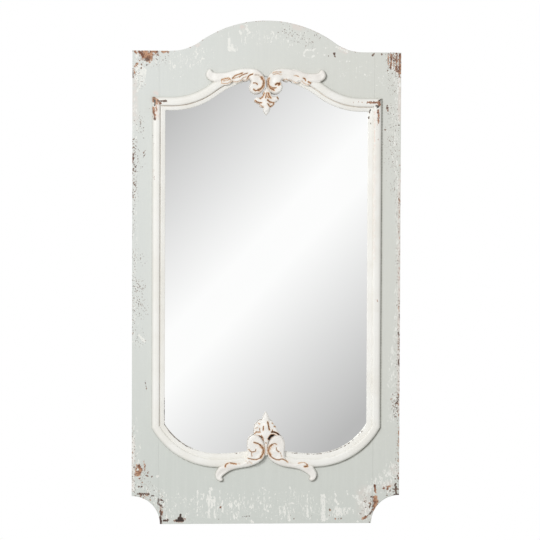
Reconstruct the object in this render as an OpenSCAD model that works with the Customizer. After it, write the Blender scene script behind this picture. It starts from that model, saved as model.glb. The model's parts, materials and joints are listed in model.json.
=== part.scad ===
// Wall mirror with a camel-back crest, applied moulding and carved scroll ornaments.
// X runs to the right, -Y is the front, +Z is up. The wall is the plane Y = 0, and Z = 0 is
// the bottom edge of the boards. Depths are measured forward from the wall.

/* [Boards] */
// Overall width of the board frame
frame_w = 610; // [560:1:700]
// Overall height of the board frame, to the top of the crest
frame_h = 1143; // [1130:1:1200]
// Thickness of the stiles and rails
board_t = 18; // [16:1:26]
// Width of each stile
stile_w = 60.5; // [56:0.5:66]
// Height of the crest above the shoulders
crest_rise = 70; // [50:1:85]
// Radius of the crest's arch
crest_r = 264; // [200:1:300]
// Radius of the hollow curves beside the arch
crest_hollow_r = 110; // [70:1:130]
// Radius of the notches at the bottom corners
notch_r = 64; // [45:1:68]

/* [Sight opening] */
// Distance from the stiles' inner edges in to the sides of the opening
side_reveal = 14; // [12:0.5:18]
// Height of the opening's lowest point above the bottom edge
sill_z = 159; // [140:1:175]
// Height of the boards above the opening's arch
crest_band = 132; // [125:1:150]
// Radius of the opening's arch
sight_arch_r = 190; // [170:1:205]
// Radius of the hollow curves beside the opening's arch
sight_hollow_r = 170; // [155:1:180]
// Radius of the opening's bottom corners
corner_r = 143; // [130:1:155]
// Distance from the sides of the opening to the centres of its bottom corners
corner_set = 122; // [116:0.5:130]
// Radius of the bottom edge between the corners
sill_r = 360; // [300:5:450]
// Distance that the rails' edges stay back from the sight line
rail_reveal = 5; // [4:0.5:7]

/* [Moulding] */
// Width of the moulding
moulding_w = 29.5; // [27.5:0.5:32]
// Height of the moulding's bead above the boards
bead_h = 10; // [8.5:0.5:11]
// Radius of the bead
bead_r = 8; // [7:0.25:8.25]
// Height of the lip above the boards
lip_h = 4.2; // [3.5:0.1:5]
// Width of the eased edge of the lip
lip_edge = 1.4; // [0.8:0.2:2]
// Distance from the middle to the ends of the top moulding
top_end_x = 59; // [52:1:66]
// Distance from the middle to the ends of the bottom moulding
bottom_end_x = 20; // [16:1:28]

/* [Ornaments] */
// Distance from the middle to the flared end of a crest scroll
crest_scroll_reach = 136; // [128:1:142]
// Distance from the middle to the flared end of a base scroll
base_scroll_reach = 115; // [110:1:120]
// Greatest height of the ornaments above the boards
relief = 20; // [18:0.5:24]

/* [Glass and back] */
// Thickness of the boards in front of the glass
rebate_front_t = 7; // [5:0.5:8.5]
// Thickness of the mirror glass
glass_t = 4; // [3:0.5:5]
// Width of glass that lies behind the boards
glass_lap = 8; // [6:0.5:9]
// Free space round the glass
glass_gap = 1.5; // [1:0.25:2]
// Height of the setting blocks below the glass
block_h = 3; // [2:0.5:4]
// Length of a setting block
block_l = 40; // [25:5:60]
// Thickness of the back panel
back_t = 3; // [2.5:0.5:4]
// Width of the back panel that lies on the boards
back_lap = 14; // [12:0.5:15]

/* [Fixings] */
// Diameter of a joint dowel
dowel_d = 8; // [6:0.5:9]
// Distance from the glass's pocket to the nearest dowel
dowel_cover = 8; // [6:0.5:9]
// Length of a joint dowel
dowel_l = 40; // [30:2:50]
// Distance between the two dowels of a joint
dowel_pitch = 21; // [15:1:24]
// Diameter of a back panel screw
screw_d = 3; // [2.5:0.5:3.5]
// Distance of the outer side screws from the ends of the glass's pocket
screw_end = 90; // [60:5:150]
// Distance of the top and bottom screws from the middle
screw_mid = 120; // [80:5:150]
// Length of a back panel screw under its head
screw_l = 12; // [9:1:14]
// Diameter of the screw heads
screw_head_d = 7; // [6:0.5:8]
// Height of the screw heads
screw_head_h = 2; // [1.5:0.25:2.5]

/* [Hangers and bumpers] */
// Thickness of the bumpers, which is the gap between boards and wall
bumper_t = 7; // [6.5:0.5:10]
// Diameter of the bumpers
bumper_d = 18; // [12:1:22]
// Distance of the upper bumpers below the shoulders
bumper_drop = 28; // [20:1:60]
// Distance of the lower bumpers above the notches
bumper_lift = 22; // [15:1:60]
// Distance of the hangers and bumpers from the frame's side
hanger_inset = 19; // [17:0.5:21]
// Distance of the hanger pivots below the shoulders
hanger_drop = 193; // [100:1:300]
// Diameter of the ring's wire
ring_wire_d = 3.2; // [2.8:0.1:3.4]
// Half width of the ring, to the middle of the wire
ring_r = 10; // [9.5:0.25:12]
// Length of the ring's straight sides
ring_side = 6; // [4:0.5:9]
// Thickness of the hanger strap
strap_t = 1.2; // [1:0.1:1.5]
// Width of the hanger strap
strap_w = 14; // [12:0.5:15]

/* [Hidden] */
$fn = 96;

// Clearances and small allowances
close_gap = 0.3;
thread_gap = 0.05;
pivot_gap = 0.08;
cut = 1;

// Depths from the wall
back_d = bumper_t;
front_d = back_d + board_t;
glass_d = front_d - rebate_front_t - glass_t;
pad_t = board_t - rebate_front_t - glass_t - back_t;

// Crest outline
shoulder_z = frame_h - crest_rise;
crest_sum = crest_r + crest_hollow_r;
crest_land_x = sqrt(pow(crest_sum, 2) - pow(crest_sum - crest_rise, 2));
crest_cz = frame_h - crest_r;
crest_join_x = crest_land_x * crest_r / crest_sum;

// Sight opening
stile_in = frame_w / 2 - stile_w;
sight_half = stile_in - side_reveal;
peak_z = frame_h - crest_band;
sight_sum = sight_arch_r + sight_hollow_r;
// The line between the centres of the arch and a hollow curve rises 4 for every 3 across
hollow_x = 0.6 * sight_sum;
sight_rise = 0.2 * sight_sum;
low_z = peak_z - sight_rise;
corner_x = sight_half - corner_set;
arch_cz = peak_z - sight_arch_r;
hollow_cz = low_z + sight_hollow_r;
corner_cz = sill_z + corner_r;
sill_cz = sill_z + sill_r;

mid_d = back_d + board_t / 2;

// Glass pocket and back panel
glass_half = stile_in + glass_lap;
glass_top = peak_z + rail_reveal + glass_lap;
glass_bottom = sill_z - rail_reveal - glass_lap;
pocket_half = glass_half + glass_gap;
pocket_top = glass_top + glass_gap;
pocket_bottom = glass_bottom - block_h;
back_half = pocket_half + back_lap;
back_top = pocket_top + back_lap;
back_bottom = pocket_bottom - back_lap;
crest_dowel_z = pocket_top + dowel_cover + dowel_d / 2;
base_dowel_z = pocket_bottom - dowel_cover - dowel_d / 2 - dowel_pitch;

// Moulding profile
bead_x = moulding_w - bead_r - 0.5;
quirk_h = bead_h - bead_r;
lip_fall = 1;
tongue_w = rail_reveal - close_gap;
tongue_d = rebate_front_t - close_gap;
out_half = sight_half + moulding_w;
mitre_reach = 6;

// Ornaments
crest_k = crest_scroll_reach / 136;
base_k = base_scroll_reach / 115;
relief_k = relief / 20;
carve_across = 7;
carve_rim = 2;
carve_floor = bead_h + carve_rim;
step_room = 5;

// Hangers
hanger_x = frame_w / 2 - hanger_inset;
hanger_z = shoulder_z - hanger_drop;
hanger_screw_l = 14;
elbow_r = 3;
eye_r = ring_wire_d / 2 + pivot_gap + strap_t;
pivot_d = back_d - strap_t - close_gap - ring_wire_d / 2;
ring_drop = elbow_r + ring_side + ring_r + ring_wire_d / 2;
strap_hole_1 = ring_drop + screw_head_d / 2 + 1.5;
strap_hole_2 = strap_hole_1 + screw_head_d + 5;
strap_l = strap_hole_2 + screw_head_d / 2 + 3;
bumper_top_z = shoulder_z - bumper_drop;
bumper_low_z = notch_r + bumper_lift;
block_x = glass_half / 2;
screw_row = pocket_half + back_lap / 2;

paint = "#cfd4d0";
ivory = "#efede6";

// A flat sheet in the plane of the wall, from depth d forward by t
module sheet(d, t) {
    translate([0, -d, 0]) rotate([90, 0, 0]) linear_extrude(t) children();
}

// A cuboid given by its low and high x and z, and its depths
module slab(x0, x1, z0, z1, d0, d1) {
    translate([x0, -d1, z0]) cube([x1 - x0, d1 - d0, z1 - z0]);
}

// A rod that runs forward from depth d
module rod(x, z, d, r, l) {
    translate([x, -d, z]) rotate([90, 0, 0]) cylinder(r = r, h = l);
}

// Outline of all the boards together
module board_outline() {
    difference() {
        union() {
            translate([-frame_w / 2, 0]) square([frame_w, shoulder_z]);
            intersection() {
                translate([0, crest_cz]) circle(crest_r);
                translate([-crest_join_x, shoulder_z - cut]) square([2 * crest_join_x, crest_rise + 2 * cut]);
            }
            for (side = [-1, 1]) crest_hollow(side);
        }
        for (side = [-1, 1]) translate([side * frame_w / 2, 0]) circle(notch_r);
    }
}

// The part of the crest under one hollow curve
module crest_hollow(side) {
    mirror([side < 0 ? 1 : 0, 0])
    difference() {
        translate([crest_join_x, shoulder_z - cut])
            square([crest_land_x - crest_join_x, cut + crest_rise * crest_hollow_r / crest_sum]);
        translate([crest_land_x, shoulder_z + crest_hollow_r]) circle(crest_hollow_r);
    }
}

// The sight opening, grown outward by g
module opening(g) {
    join_x = hollow_x * (sight_arch_r + g) / sight_sum;
    join_z = arch_cz + (hollow_cz - arch_cz) * (sight_arch_r + g) / sight_sum;
    translate([-sight_half - g, corner_cz]) square([2 * (sight_half + g), low_z + g - corner_cz]);
    intersection() {
        translate([0, arch_cz]) circle(sight_arch_r + g);
        translate([-join_x, low_z - cut]) square([2 * join_x, sight_rise + g + 2 * cut]);
    }
    for (m = [0, 1]) mirror([m, 0]) {
        difference() {
            translate([join_x, low_z + g - cut]) square([hollow_x - join_x, join_z - low_z - g + cut]);
            translate([hollow_x, hollow_cz]) circle(sight_hollow_r - g);
        }
        intersection() {
            translate([corner_x, corner_cz]) circle(corner_r + g);
            translate([corner_x, sill_z - g - cut]) square([sight_half + g - corner_x, corner_r + g + 2 * cut]);
        }
        intersection() {
            translate([corner_x, sill_cz]) circle(sill_r + g);
            translate([0, sill_z - g - cut]) square([corner_x, corner_r + g + 2 * cut]);
        }
    }
}

// The rear pocket that holds the glass, and the shallow recess of the back panel
module rear_recesses() {
    slab(-pocket_half, pocket_half, pocket_bottom, pocket_top, back_d - cut, front_d - rebate_front_t);
    slab(-back_half, back_half, back_bottom, back_top, back_d - cut, back_d + back_t);
}

// Places of the back panel's screws
back_screws = concat(
    [for (side = [-1, 1]) for (i = [0:3])
        [side * screw_row, pocket_bottom + screw_end + i * (pocket_top - pocket_bottom - 2 * screw_end) / 3]],
    [for (side = [-1, 1]) [side * screw_mid, pocket_top + back_lap / 2]],
    [for (side = [-1, 1]) [side * screw_mid, pocket_bottom - back_lap / 2]]
);

// Places of the hanger screws
strap_screws = [for (side = [-1, 1]) for (h = [strap_hole_1, strap_hole_2]) [side * hanger_x, hanger_z - h]];

module dowels(r, l) {
    for (side = [-1, 1])
        for (z = [crest_dowel_z, crest_dowel_z + dowel_pitch, base_dowel_z, base_dowel_z + dowel_pitch])
            translate([side * stile_in - l / 2, -mid_d, z]) rotate([0, 90, 0]) cylinder(r = r, h = l);
}

// Everything that is cut out of the boards from behind
module board_cuts() {
    rear_recesses();
    dowels(dowel_d / 2 + thread_gap, dowel_l + 2 * close_gap);
    for (p = back_screws)
        rod(p[0], p[1], back_d - cut, screw_d / 2 + thread_gap, cut + screw_l + close_gap);
    for (p = strap_screws)
        rod(p[0], p[1], back_d - cut, screw_d / 2 + thread_gap, cut + hanger_screw_l - strap_t + close_gap);
}

module board(x0, x1, z0, z1) {
    color(paint)
    difference() {
        sheet(back_d, board_t)
            intersection() {
                board_outline();
                translate([x0, z0]) square([x1 - x0, z1 - z0]);
            }
        board_cuts();
    }
}

module left_stile() {
    board(-frame_w / 2, -stile_in, 0, shoulder_z);
}

module right_stile() {
    board(stile_in, frame_w / 2, 0, shoulder_z);
}

module crest_rail() {
    color(paint)
    difference() {
        sheet(back_d, board_t)
            difference() {
                intersection() {
                    board_outline();
                    translate([-stile_in, low_z + rail_reveal - cut]) square([2 * stile_in, frame_h]);
                }
                opening(rail_reveal);
            }
        board_cuts();
    }
}

module base_rail() {
    rise = sqrt(pow(corner_r + rail_reveal, 2) - pow(sight_half + rail_reveal - corner_x, 2));
    color(paint)
    difference() {
        sheet(back_d, board_t)
            difference() {
                intersection() {
                    board_outline();
                    translate([-stile_in, 0]) square([2 * stile_in, corner_cz - rise]);
                }
                opening(rail_reveal);
            }
        board_cuts();
    }
}

module joint_dowels() {
    color("burlywood") dowels(dowel_d / 2, dowel_l);
}

// Cross-section of the moulding: x from the sight line outward, y up from the boards
module moulding_profile() {
    polygon([
        [0, -tongue_d], [tongue_w, -tongue_d], [tongue_w, 0], [moulding_w, 0],
        [moulding_w, quirk_h], [bead_x, quirk_h], [bead_x, lip_h - lip_fall],
        [bead_x - bead_r, lip_h - lip_fall], [lip_edge, lip_h], [0, lip_h - lip_edge]
    ]);
    intersection() {
        translate([bead_x, quirk_h]) circle(bead_r);
        translate([bead_x - bead_r - cut, 0]) square([2 * bead_r + 2 * cut, bead_h + cut]);
    }
}

// The moulding bent along an arc; on a hollow curve its outer side faces the arc's centre
module moulding_arc(x, z, r, from, turn, hollow = false) {
    translate([x, -front_d, z]) rotate([90, 0, 0]) rotate([0, 0, from])
        rotate_extrude(angle = turn) translate([r, 0]) mirror([hollow ? 1 : 0, 0]) moulding_profile();
}

// Ends of the mitre lines at the top and bottom corners
top_in = [sight_half, low_z];
top_out = [out_half, low_z + moulding_w];
low_in = [sight_half, corner_cz - sqrt(pow(corner_r, 2) - pow(sight_half - corner_x, 2))];
low_out = [out_half, corner_cz - sqrt(pow(corner_r + moulding_w, 2) - pow(out_half - corner_x, 2))];
top_dir = (top_out - top_in) / norm(top_out - top_in) * mitre_reach;
low_dir = (low_out - low_in) / norm(low_out - low_in) * mitre_reach;

// Keeps what lies inside a plane outline, through the moulding's whole depth
module kept(points) {
    intersection() {
        children();
        sheet(front_d - rebate_front_t - cut, rebate_front_t + bead_h + 2 * cut) polygon(points);
    }
}

module side_moulding() {
    color(ivory)
    kept([top_in - top_dir, top_out + top_dir, low_out + low_dir, low_in - low_dir])
        translate([sight_half, -front_d, corner_cz - corner_r]) mirror([0, 1, 0])
            linear_extrude(peak_z - sill_z) moulding_profile();
}

module top_moulding() {
    join = atan2(hollow_cz - arch_cz, hollow_x);
    end = acos(top_end_x / (sight_arch_r + moulding_w / 2));
    a = top_in - top_dir;
    b = top_out + top_dir;
    color(ivory)
    kept([a, b, [b[0], frame_h], [0, frame_h], [0, a[1] - sight_rise], [a[0], a[1] - sight_rise]]) {
        union() {
            moulding_arc(0, arch_cz, sight_arch_r, join, end - join);
            moulding_arc(hollow_x, hollow_cz, sight_hollow_r, join - 180, 90 - join, true);
            translate([hollow_x, -front_d, low_z]) rotate([180, 0, 0]) rotate([0, 90, 0])
                linear_extrude(out_half + mitre_reach - hollow_x) moulding_profile();
        }
    }
}

module bottom_moulding() {
    end = asin((corner_x - bottom_end_x) / (sill_r + moulding_w / 2));
    a = low_in - low_dir;
    b = low_out + low_dir;
    color(ivory)
    kept([a, b, [b[0], 0], [0, 0], [0, a[1]]]) {
        union() {
            moulding_arc(corner_x, sill_cz, sill_r, -90, -end);
            moulding_arc(corner_x, corner_cz, corner_r, -90, 80);
        }
    }
}

module moulding_left() {
    mirror([1, 0, 0]) side_moulding();
}

module moulding_right() {
    side_moulding();
}

module moulding_top_left() {
    mirror([1, 0, 0]) top_moulding();
}

module moulding_top_right() {
    top_moulding();
}

module moulding_bottom_left() {
    mirror([1, 0, 0]) bottom_moulding();
}

module moulding_bottom_right() {
    bottom_moulding();
}

// How far a point lies outside the sight line, near the top and near the bottom
function above_sight(x, z) =
    (x * (hollow_cz - arch_cz) < (z - arch_cz) * hollow_x)
        ? norm([x, z - arch_cz]) - sight_arch_r
        : x < hollow_x ? sight_hollow_r - norm([x - hollow_x, z - hollow_cz]) : z - low_z;
function below_sight(x, z) =
    x < corner_x
        ? norm([x - corner_x, z - sill_cz]) - sill_r
        : norm([x - corner_x, z - corner_cz]) - corner_r;

// Height of one domed stroke at point p, between its points a and b, each [x, z, width, height]
function dome(p, a, b) =
    let (
        d = [b[0] - a[0], b[1] - a[1]],
        t = max(0, min(1, ((p[0] - a[0]) * d[0] + (p[1] - a[1]) * d[1]) / (d * d))),
        q = a + (b - a) * t,
        e = norm([p[0] - q[0], p[1] - q[1]]) / (q[2] / 2)
    )
    e < 1 ? q[3] * (0.6 + 0.4 * sqrt(1 - e * e)) : 0;

// Height of the carving at point p, from all its strokes
function carved_height(p, strokes) =
    max(carve_floor, relief_k * max([for (s = strokes) for (i = [0:len(s) - 2]) dome(p, s[i], s[i + 1])]));

// Points of a carving's face, row by row; each pair [x, z, x, z] holds the two ends of a row
function carve_points(pairs) =
    [for (p = pairs) for (j = [0:carve_across]) [p[0] + (p[2] - p[0]) * j / carve_across,
                                                 p[1] + (p[3] - p[1]) * j / carve_across]];

// Underside of a carving: it lies on the boards, but steps up over a moulding that starts at end_x
function stepped(x, u, end_x) =
    (u > -step_room && u < moulding_w + step_room && x > end_x - 2 * step_room) ? bead_h + close_gap : 0;
function crest_under(pairs) =
    [for (p = carve_points(pairs) * crest_k) stepped(p[0], above_sight(p[0], peak_z + p[1]), top_end_x)];
function base_under(pairs) =
    [for (p = carve_points(pairs) * base_k) stepped(p[0], below_sight(p[0], sill_z + p[1]), bottom_end_x)];
function flat_under(pairs) = [for (p = carve_points(pairs)) 0];

// Help with lists: reversing, halving the steps, and the two sides of an even carving
function reversed(list) = [for (i = [len(list) - 1:-1:0]) list[i]];
function finer(pairs) = concat(
    [for (i = [0:len(pairs) - 2]) each [pairs[i], (pairs[i] + pairs[i + 1]) / 2]],
    [pairs[len(pairs) - 1]]
);
function even_edges(half) = [for (p = half) [-p[1], p[0], p[1], p[0]]];
function even_strokes(strokes) = concat(
    strokes,
    [for (s = strokes) [for (p = s) [-p[0], p[1], p[2], p[3]]]]
);

// A carving at height z on the boards' face, enlarged by k
module carving(z, k, pairs, strokes, under) {
    n = carve_across;
    m = len(pairs);
    face = carve_points(pairs);
    count = len(face);
    points = concat(
        [for (p = face) [p[0], p[1], carved_height(p, strokes)]],
        [for (i = [0:count - 1]) [face[i][0], face[i][1], under[i]]]
    );
    front = [for (i = [0:m - 2]) for (j = [0:n - 1]) let (a = i * (n + 1) + j, b = a + n + 1)
        each [[a, a + 1, b + 1], [a, b + 1, b]]];
    rear = [for (f = front) [f[0] + count, f[2] + count, f[1] + count]];
    rim = concat(
        [for (i = [0:m - 2]) i * (n + 1)],
        [for (j = [0:n - 1]) (m - 1) * (n + 1) + j],
        [for (i = [m - 1:-1:1]) i * (n + 1) + n],
        [for (j = [n:-1:1]) j]
    );
    walls = [for (i = [0:len(rim) - 1]) let (a = rim[i], b = rim[(i + 1) % len(rim)])
        each [[a, b, b + count], [a, b + count, a + count]]];
    color(ivory) translate([0, -front_d, z]) rotate([90, 0, 0]) scale([k, k, 1])
        polyhedron(points, concat(front, rear, walls));
}

// Crest scroll: the outline from its flared tip to the bottom of the volute
crest_edges = finer([
    [129, 18.5, 126, 21], [134, 14.5, 123.5, 17], [136, 9, 119.5, 15], [133, 2, 114, 14.3],
    [126, -3.2, 107, 14], [117, -6.4, 100, 14], [104, -7, 93, 14.5], [98, -11.5, 86, 16],
    [91, -13, 79, 18], [82, -10.5, 72, 20], [75, -7, 65, 21.7], [67, -8.5, 58, 23],
    [59, -6, 50, 24], [51, -4.5, 42, 24.4], [44, -4.5, 34, 24], [38, -2.5, 26, 23],
    [35, -8, 18, 20], [37.5, -14, 10.5, 14.5], [38, -19, 4.5, 8], [36, -24.5, 0.8, 0],
    [32.5, -29, 0.3, -9], [28, -32.3, 1, -17], [23, -33.5, 4.5, -25], [18.5, -33.6, 10, -31]
]);

// The long band with its curled end, the volute's eye and three leaf lobes
crest_strokes = [
    [[129, 13, 15, 14], [121, 8.5, 24, 14], [110, 6, 21, 15], [98, 7, 19, 16], [86, 10, 17, 17],
     [74, 13, 16, 17], [61, 16, 15, 17], [48, 17.5, 15, 18], [34, 17, 15, 18], [21, 12.5, 15, 19],
     [11, 4, 13, 20], [7, -7, 12, 20], [8, -18, 11, 20], [13, -26, 10, 20], [21, -28.5, 10, 20],
     [28.5, -25, 10, 19], [32, -17.5, 9, 19], [29.5, -10.5, 8, 18], [23.5, -9, 7, 17]],
    [[15, -13, 11, 16], [21, -18, 12, 18], [24, -14, 9, 17]],
    [[99, -4, 7, 13], [92, -6.5, 13, 14], [83, -4, 12, 14], [76, 1, 8, 13]],
    [[73, -2, 6, 13], [67, -3.5, 10, 14], [59, -1, 10, 14], [53, 4, 7, 13]],
    [[52, 1, 6, 13], [46, -0.5, 9, 14], [39, 2, 8, 14], [34, 6, 6, 13]]
];

// Base scroll: the outline from its leaf's tip to the top of the coil
base_edges = finer([
    [104, -60.2, 99, -57], [110, -57.5, 98.5, -53.5], [114, -51, 97, -49], [115, -44, 91.5, -44],
    [112.5, -36, 86, -40], [106, -29, 79, -36], [97, -24.5, 72, -33.2], [88, -20.5, 65, -31.6],
    [79, -18.8, 58, -30.6], [70, -20, 50.5, -29.6], [62, -20.5, 43, -28.3], [54, -18.5, 36, -26.6],
    [47, -14, 28.5, -23.8], [43, -8, 21, -20], [42, -2, 14, -16], [42, 4, 8, -11],
    [42.6, 10, 4.5, -4], [43, 17, 4.1, 5], [42.8, 23, 4.1, 14], [41.5, 29, 4.4, 23],
    [39, 34.5, 6.5, 30], [35.5, 39.5, 10.5, 36.5], [31, 42.8, 16, 41], [26.5, 43.8, 22.5, 43.5]
]);

// The leaf and band, the coil inside it and the eye
base_strokes = [
    [[103, -55, 8, 12], [107, -49, 15, 13], [104, -41, 19, 14], [95, -34, 18, 15], [83, -29, 14, 16],
     [70, -26, 13, 17], [56, -24, 13, 17], [42, -21, 13, 17], [29, -15.5, 13, 18], [17, -8.5, 12, 18],
     [10, 0, 10, 19], [8.5, 12, 9, 19], [10, 24, 9, 19], [15, 33, 10, 19], [25, 36.5, 13, 20],
     [34, 32, 14, 20], [36.5, 23, 12, 20], [35, 14, 10, 19], [29.5, 9.5, 9, 18], [24, 12, 8, 17]],
    [[36, -5, 9, 15], [25, -4, 12, 16], [17, 4, 11, 16], [16, 16, 11, 17], [20, 25, 12, 17]],
    [[20, 18, 13, 17], [23, 8, 13, 17]]
];

// Crest pendant: half widths down its length, each [z, half width]
pendant_half = [
    [-18.5, 1.3], [-22, 2.8], [-25, 4.1], [-28, 6.8], [-31, 8.5], [-35, 10], [-39, 14], [-42, 22], [-45, 25.8],
    [-48.5, 26.8], [-52, 24.5], [-54.5, 17], [-57, 13.5], [-60, 11.5], [-63, 8.5], [-66, 7.3], [-69, 7.2],
    [-72, 6], [-75, 4.2], [-78, 2.2], [-81, 0.4]
];
pendant_strokes = [
    [[0, -17, 4, 9], [0, -26, 9, 13], [0, -36, 11, 14], [0, -48, 12, 14], [0, -60, 12, 14],
     [0, -68, 15, 13], [0, -75, 9, 12], [0, -81, 3, 12]],
    [[4, -31, 7, 12], [9, -41, 8, 13], [15, -48, 10, 13], [21, -48, 10, 13]],
    [[3, -61, 6, 12], [9, -60, 8, 13], [14, -56, 6, 12]]
];

// Base palmette: half widths up its length, each [z, half width]
palmette_half = [
    [-2, 3.6], [5, 3.8], [12, 3.8], [19, 3.8], [26, 4.6], [31, 5.9], [36, 9.2], [40, 13], [44, 22], [47, 26.5],
    [51, 27.3], [55, 25.8], [60, 25.6], [64, 25], [68, 22], [71, 17.3], [74, 17], [77, 12.5], [80, 9],
    [84, 7.6], [88, 6.2], [92, 3.4], [95, 0.5]
];
palmette_strokes = [
    [[0, -2, 6, 12], [0, 20, 7, 13], [0, 36, 10, 15], [0, 50, 14, 16], [0, 62, 17, 16],
     [0, 74, 17, 15], [0, 84, 12, 13], [0, 95, 3, 12]],
    [[5, 58, 8, 12], [10, 68, 9, 13], [14, 73, 7, 12]],
    [[6, 50, 9, 12], [14, 60, 11, 13], [20, 66, 10, 12]],
    [[7, 43, 8, 12], [15, 50, 10, 13], [23, 53, 10, 12]]
];

module crest_scroll() {
    pairs = reversed(crest_edges);
    carving(peak_z, crest_k, pairs, crest_strokes, crest_under(pairs));
}

module base_scroll() {
    carving(sill_z, base_k, base_edges, base_strokes, base_under(base_edges));
}

module crest_scroll_left() {
    mirror([1, 0, 0]) crest_scroll();
}

module crest_scroll_right() {
    crest_scroll();
}

module crest_pendant() {
    pairs = even_edges(pendant_half);
    carving(peak_z, crest_k, pairs, even_strokes(pendant_strokes), flat_under(pairs));
}

module base_scroll_left() {
    mirror([1, 0, 0]) base_scroll();
}

module base_scroll_right() {
    base_scroll();
}

module base_palmette() {
    pairs = even_edges(reversed(palmette_half));
    carving(sill_z, base_k, pairs, even_strokes(palmette_strokes), flat_under(pairs));
}

module mirror_glass() {
    color("lightsteelblue") slab(-glass_half, glass_half, glass_bottom, glass_top, glass_d, glass_d + glass_t);
}

module setting_blocks() {
    color("dimgray")
    for (side = [-1, 1])
        slab(side * block_x - block_l / 2, side * block_x + block_l / 2, pocket_bottom, glass_bottom,
             back_d + back_t, glass_d + glass_t);
}

module packing_sheet() {
    color("tan")
    slab(-glass_half, glass_half, glass_bottom, glass_top, back_d + back_t, back_d + back_t + pad_t);
}

module back_panel() {
    color("saddlebrown")
    difference() {
        slab(-back_half + close_gap, back_half - close_gap, back_bottom + close_gap, back_top - close_gap,
             back_d, back_d + back_t);
        for (p = back_screws) rod(p[0], p[1], back_d - cut, screw_d / 2 + thread_gap, back_t + 2 * cut);
    }
}

// A pan-head screw that runs forward from the face at depth d
module screw(x, z, d, l) {
    rod(x, z, d, screw_d / 2, l);
    rod(x, z, d - screw_head_h, screw_head_d / 2, screw_head_h);
}

module back_panel_screws() {
    color("silver") for (p = back_screws) screw(p[0], p[1], back_d, screw_l);
}

module hanger_screws() {
    color("silver") for (p = strap_screws) screw(p[0], p[1], back_d - strap_t, hanger_screw_l);
}

// Strap on the back of the stile, with an eye rolled round the ring's bar
module hanger_strap() {
    eye_w = 2 * (ring_r - elbow_r) - 2;
    neck_z = hanger_z - elbow_r - ring_wire_d;
    color("silver")
    difference() {
        union() {
            slab(hanger_x - strap_w / 2, hanger_x + strap_w / 2, hanger_z - strap_l, neck_z,
                 back_d - strap_t, back_d);
            slab(hanger_x - eye_w / 2, hanger_x + eye_w / 2, neck_z - cut, hanger_z,
                 back_d - strap_t, back_d);
            intersection() {
                translate([hanger_x - eye_w / 2, -pivot_d, hanger_z]) rotate([0, 90, 0])
                    cylinder(r = eye_r, h = eye_w);
                slab(hanger_x - eye_w, hanger_x + eye_w, hanger_z - 2 * eye_r, hanger_z + 2 * eye_r, 0, back_d);
            }
        }
        translate([hanger_x - strap_w, -pivot_d, hanger_z]) rotate([0, 90, 0])
            cylinder(r = ring_wire_d / 2 + pivot_gap, h = 2 * strap_w);
        for (h = [strap_hole_1, strap_hole_2])
            rod(hanger_x, hanger_z - h, back_d - strap_t - cut, screw_d / 2 + thread_gap, strap_t + 2 * cut);
    }
}

module hanger_strap_left() {
    mirror([1, 0, 0]) hanger_strap();
}

module hanger_strap_right() {
    hanger_strap();
}

// Quarter turn of the ring's wire about [x, z]
module wire_bend(x, z, r, from, turn) {
    translate([x, 0, z]) rotate([90, 0, 0]) rotate([0, 0, from])
        rotate_extrude(angle = turn) translate([r, 0]) circle(ring_wire_d / 2);
}

// D-shaped ring that hangs from its straight bar
module hanger_ring() {
    bow_z = -elbow_r - ring_side;
    color("silver")
    translate([hanger_x, -pivot_d, hanger_z]) {
        translate([elbow_r - ring_r, 0, 0]) rotate([0, 90, 0])
            cylinder(r = ring_wire_d / 2, h = 2 * (ring_r - elbow_r));
        wire_bend(ring_r - elbow_r, -elbow_r, elbow_r, 0, 90);
        wire_bend(elbow_r - ring_r, -elbow_r, elbow_r, 90, 90);
        for (side = [-1, 1])
            translate([side * ring_r, 0, bow_z]) cylinder(r = ring_wire_d / 2, h = ring_side);
        wire_bend(0, bow_z, ring_r, 180, 180);
    }
}

module hanger_ring_left() {
    mirror([1, 0, 0]) hanger_ring();
}

module hanger_ring_right() {
    hanger_ring();
}

module wall_bumpers() {
    color("dimgray")
    for (side = [-1, 1])
        for (z = [bumper_low_z, bumper_top_z])
            rod(side * hanger_x, z, 0, bumper_d / 2, bumper_t);
}

left_stile();
right_stile();
crest_rail();
base_rail();
joint_dowels();
moulding_left();
moulding_right();
moulding_top_left();
moulding_top_right();
moulding_bottom_left();
moulding_bottom_right();
crest_scroll_left();
crest_scroll_right();
crest_pendant();
base_scroll_left();
base_scroll_right();
base_palmette();
mirror_glass();
setting_blocks();
packing_sheet();
back_panel();
back_panel_screws();
hanger_strap_left();
hanger_strap_right();
hanger_ring_left();
hanger_ring_right();
hanger_screws();
wall_bumpers();
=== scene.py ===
import json
import math

import bpy
import numpy as np
from mathutils import Matrix, Vector, geometry, kdtree, noise

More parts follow.
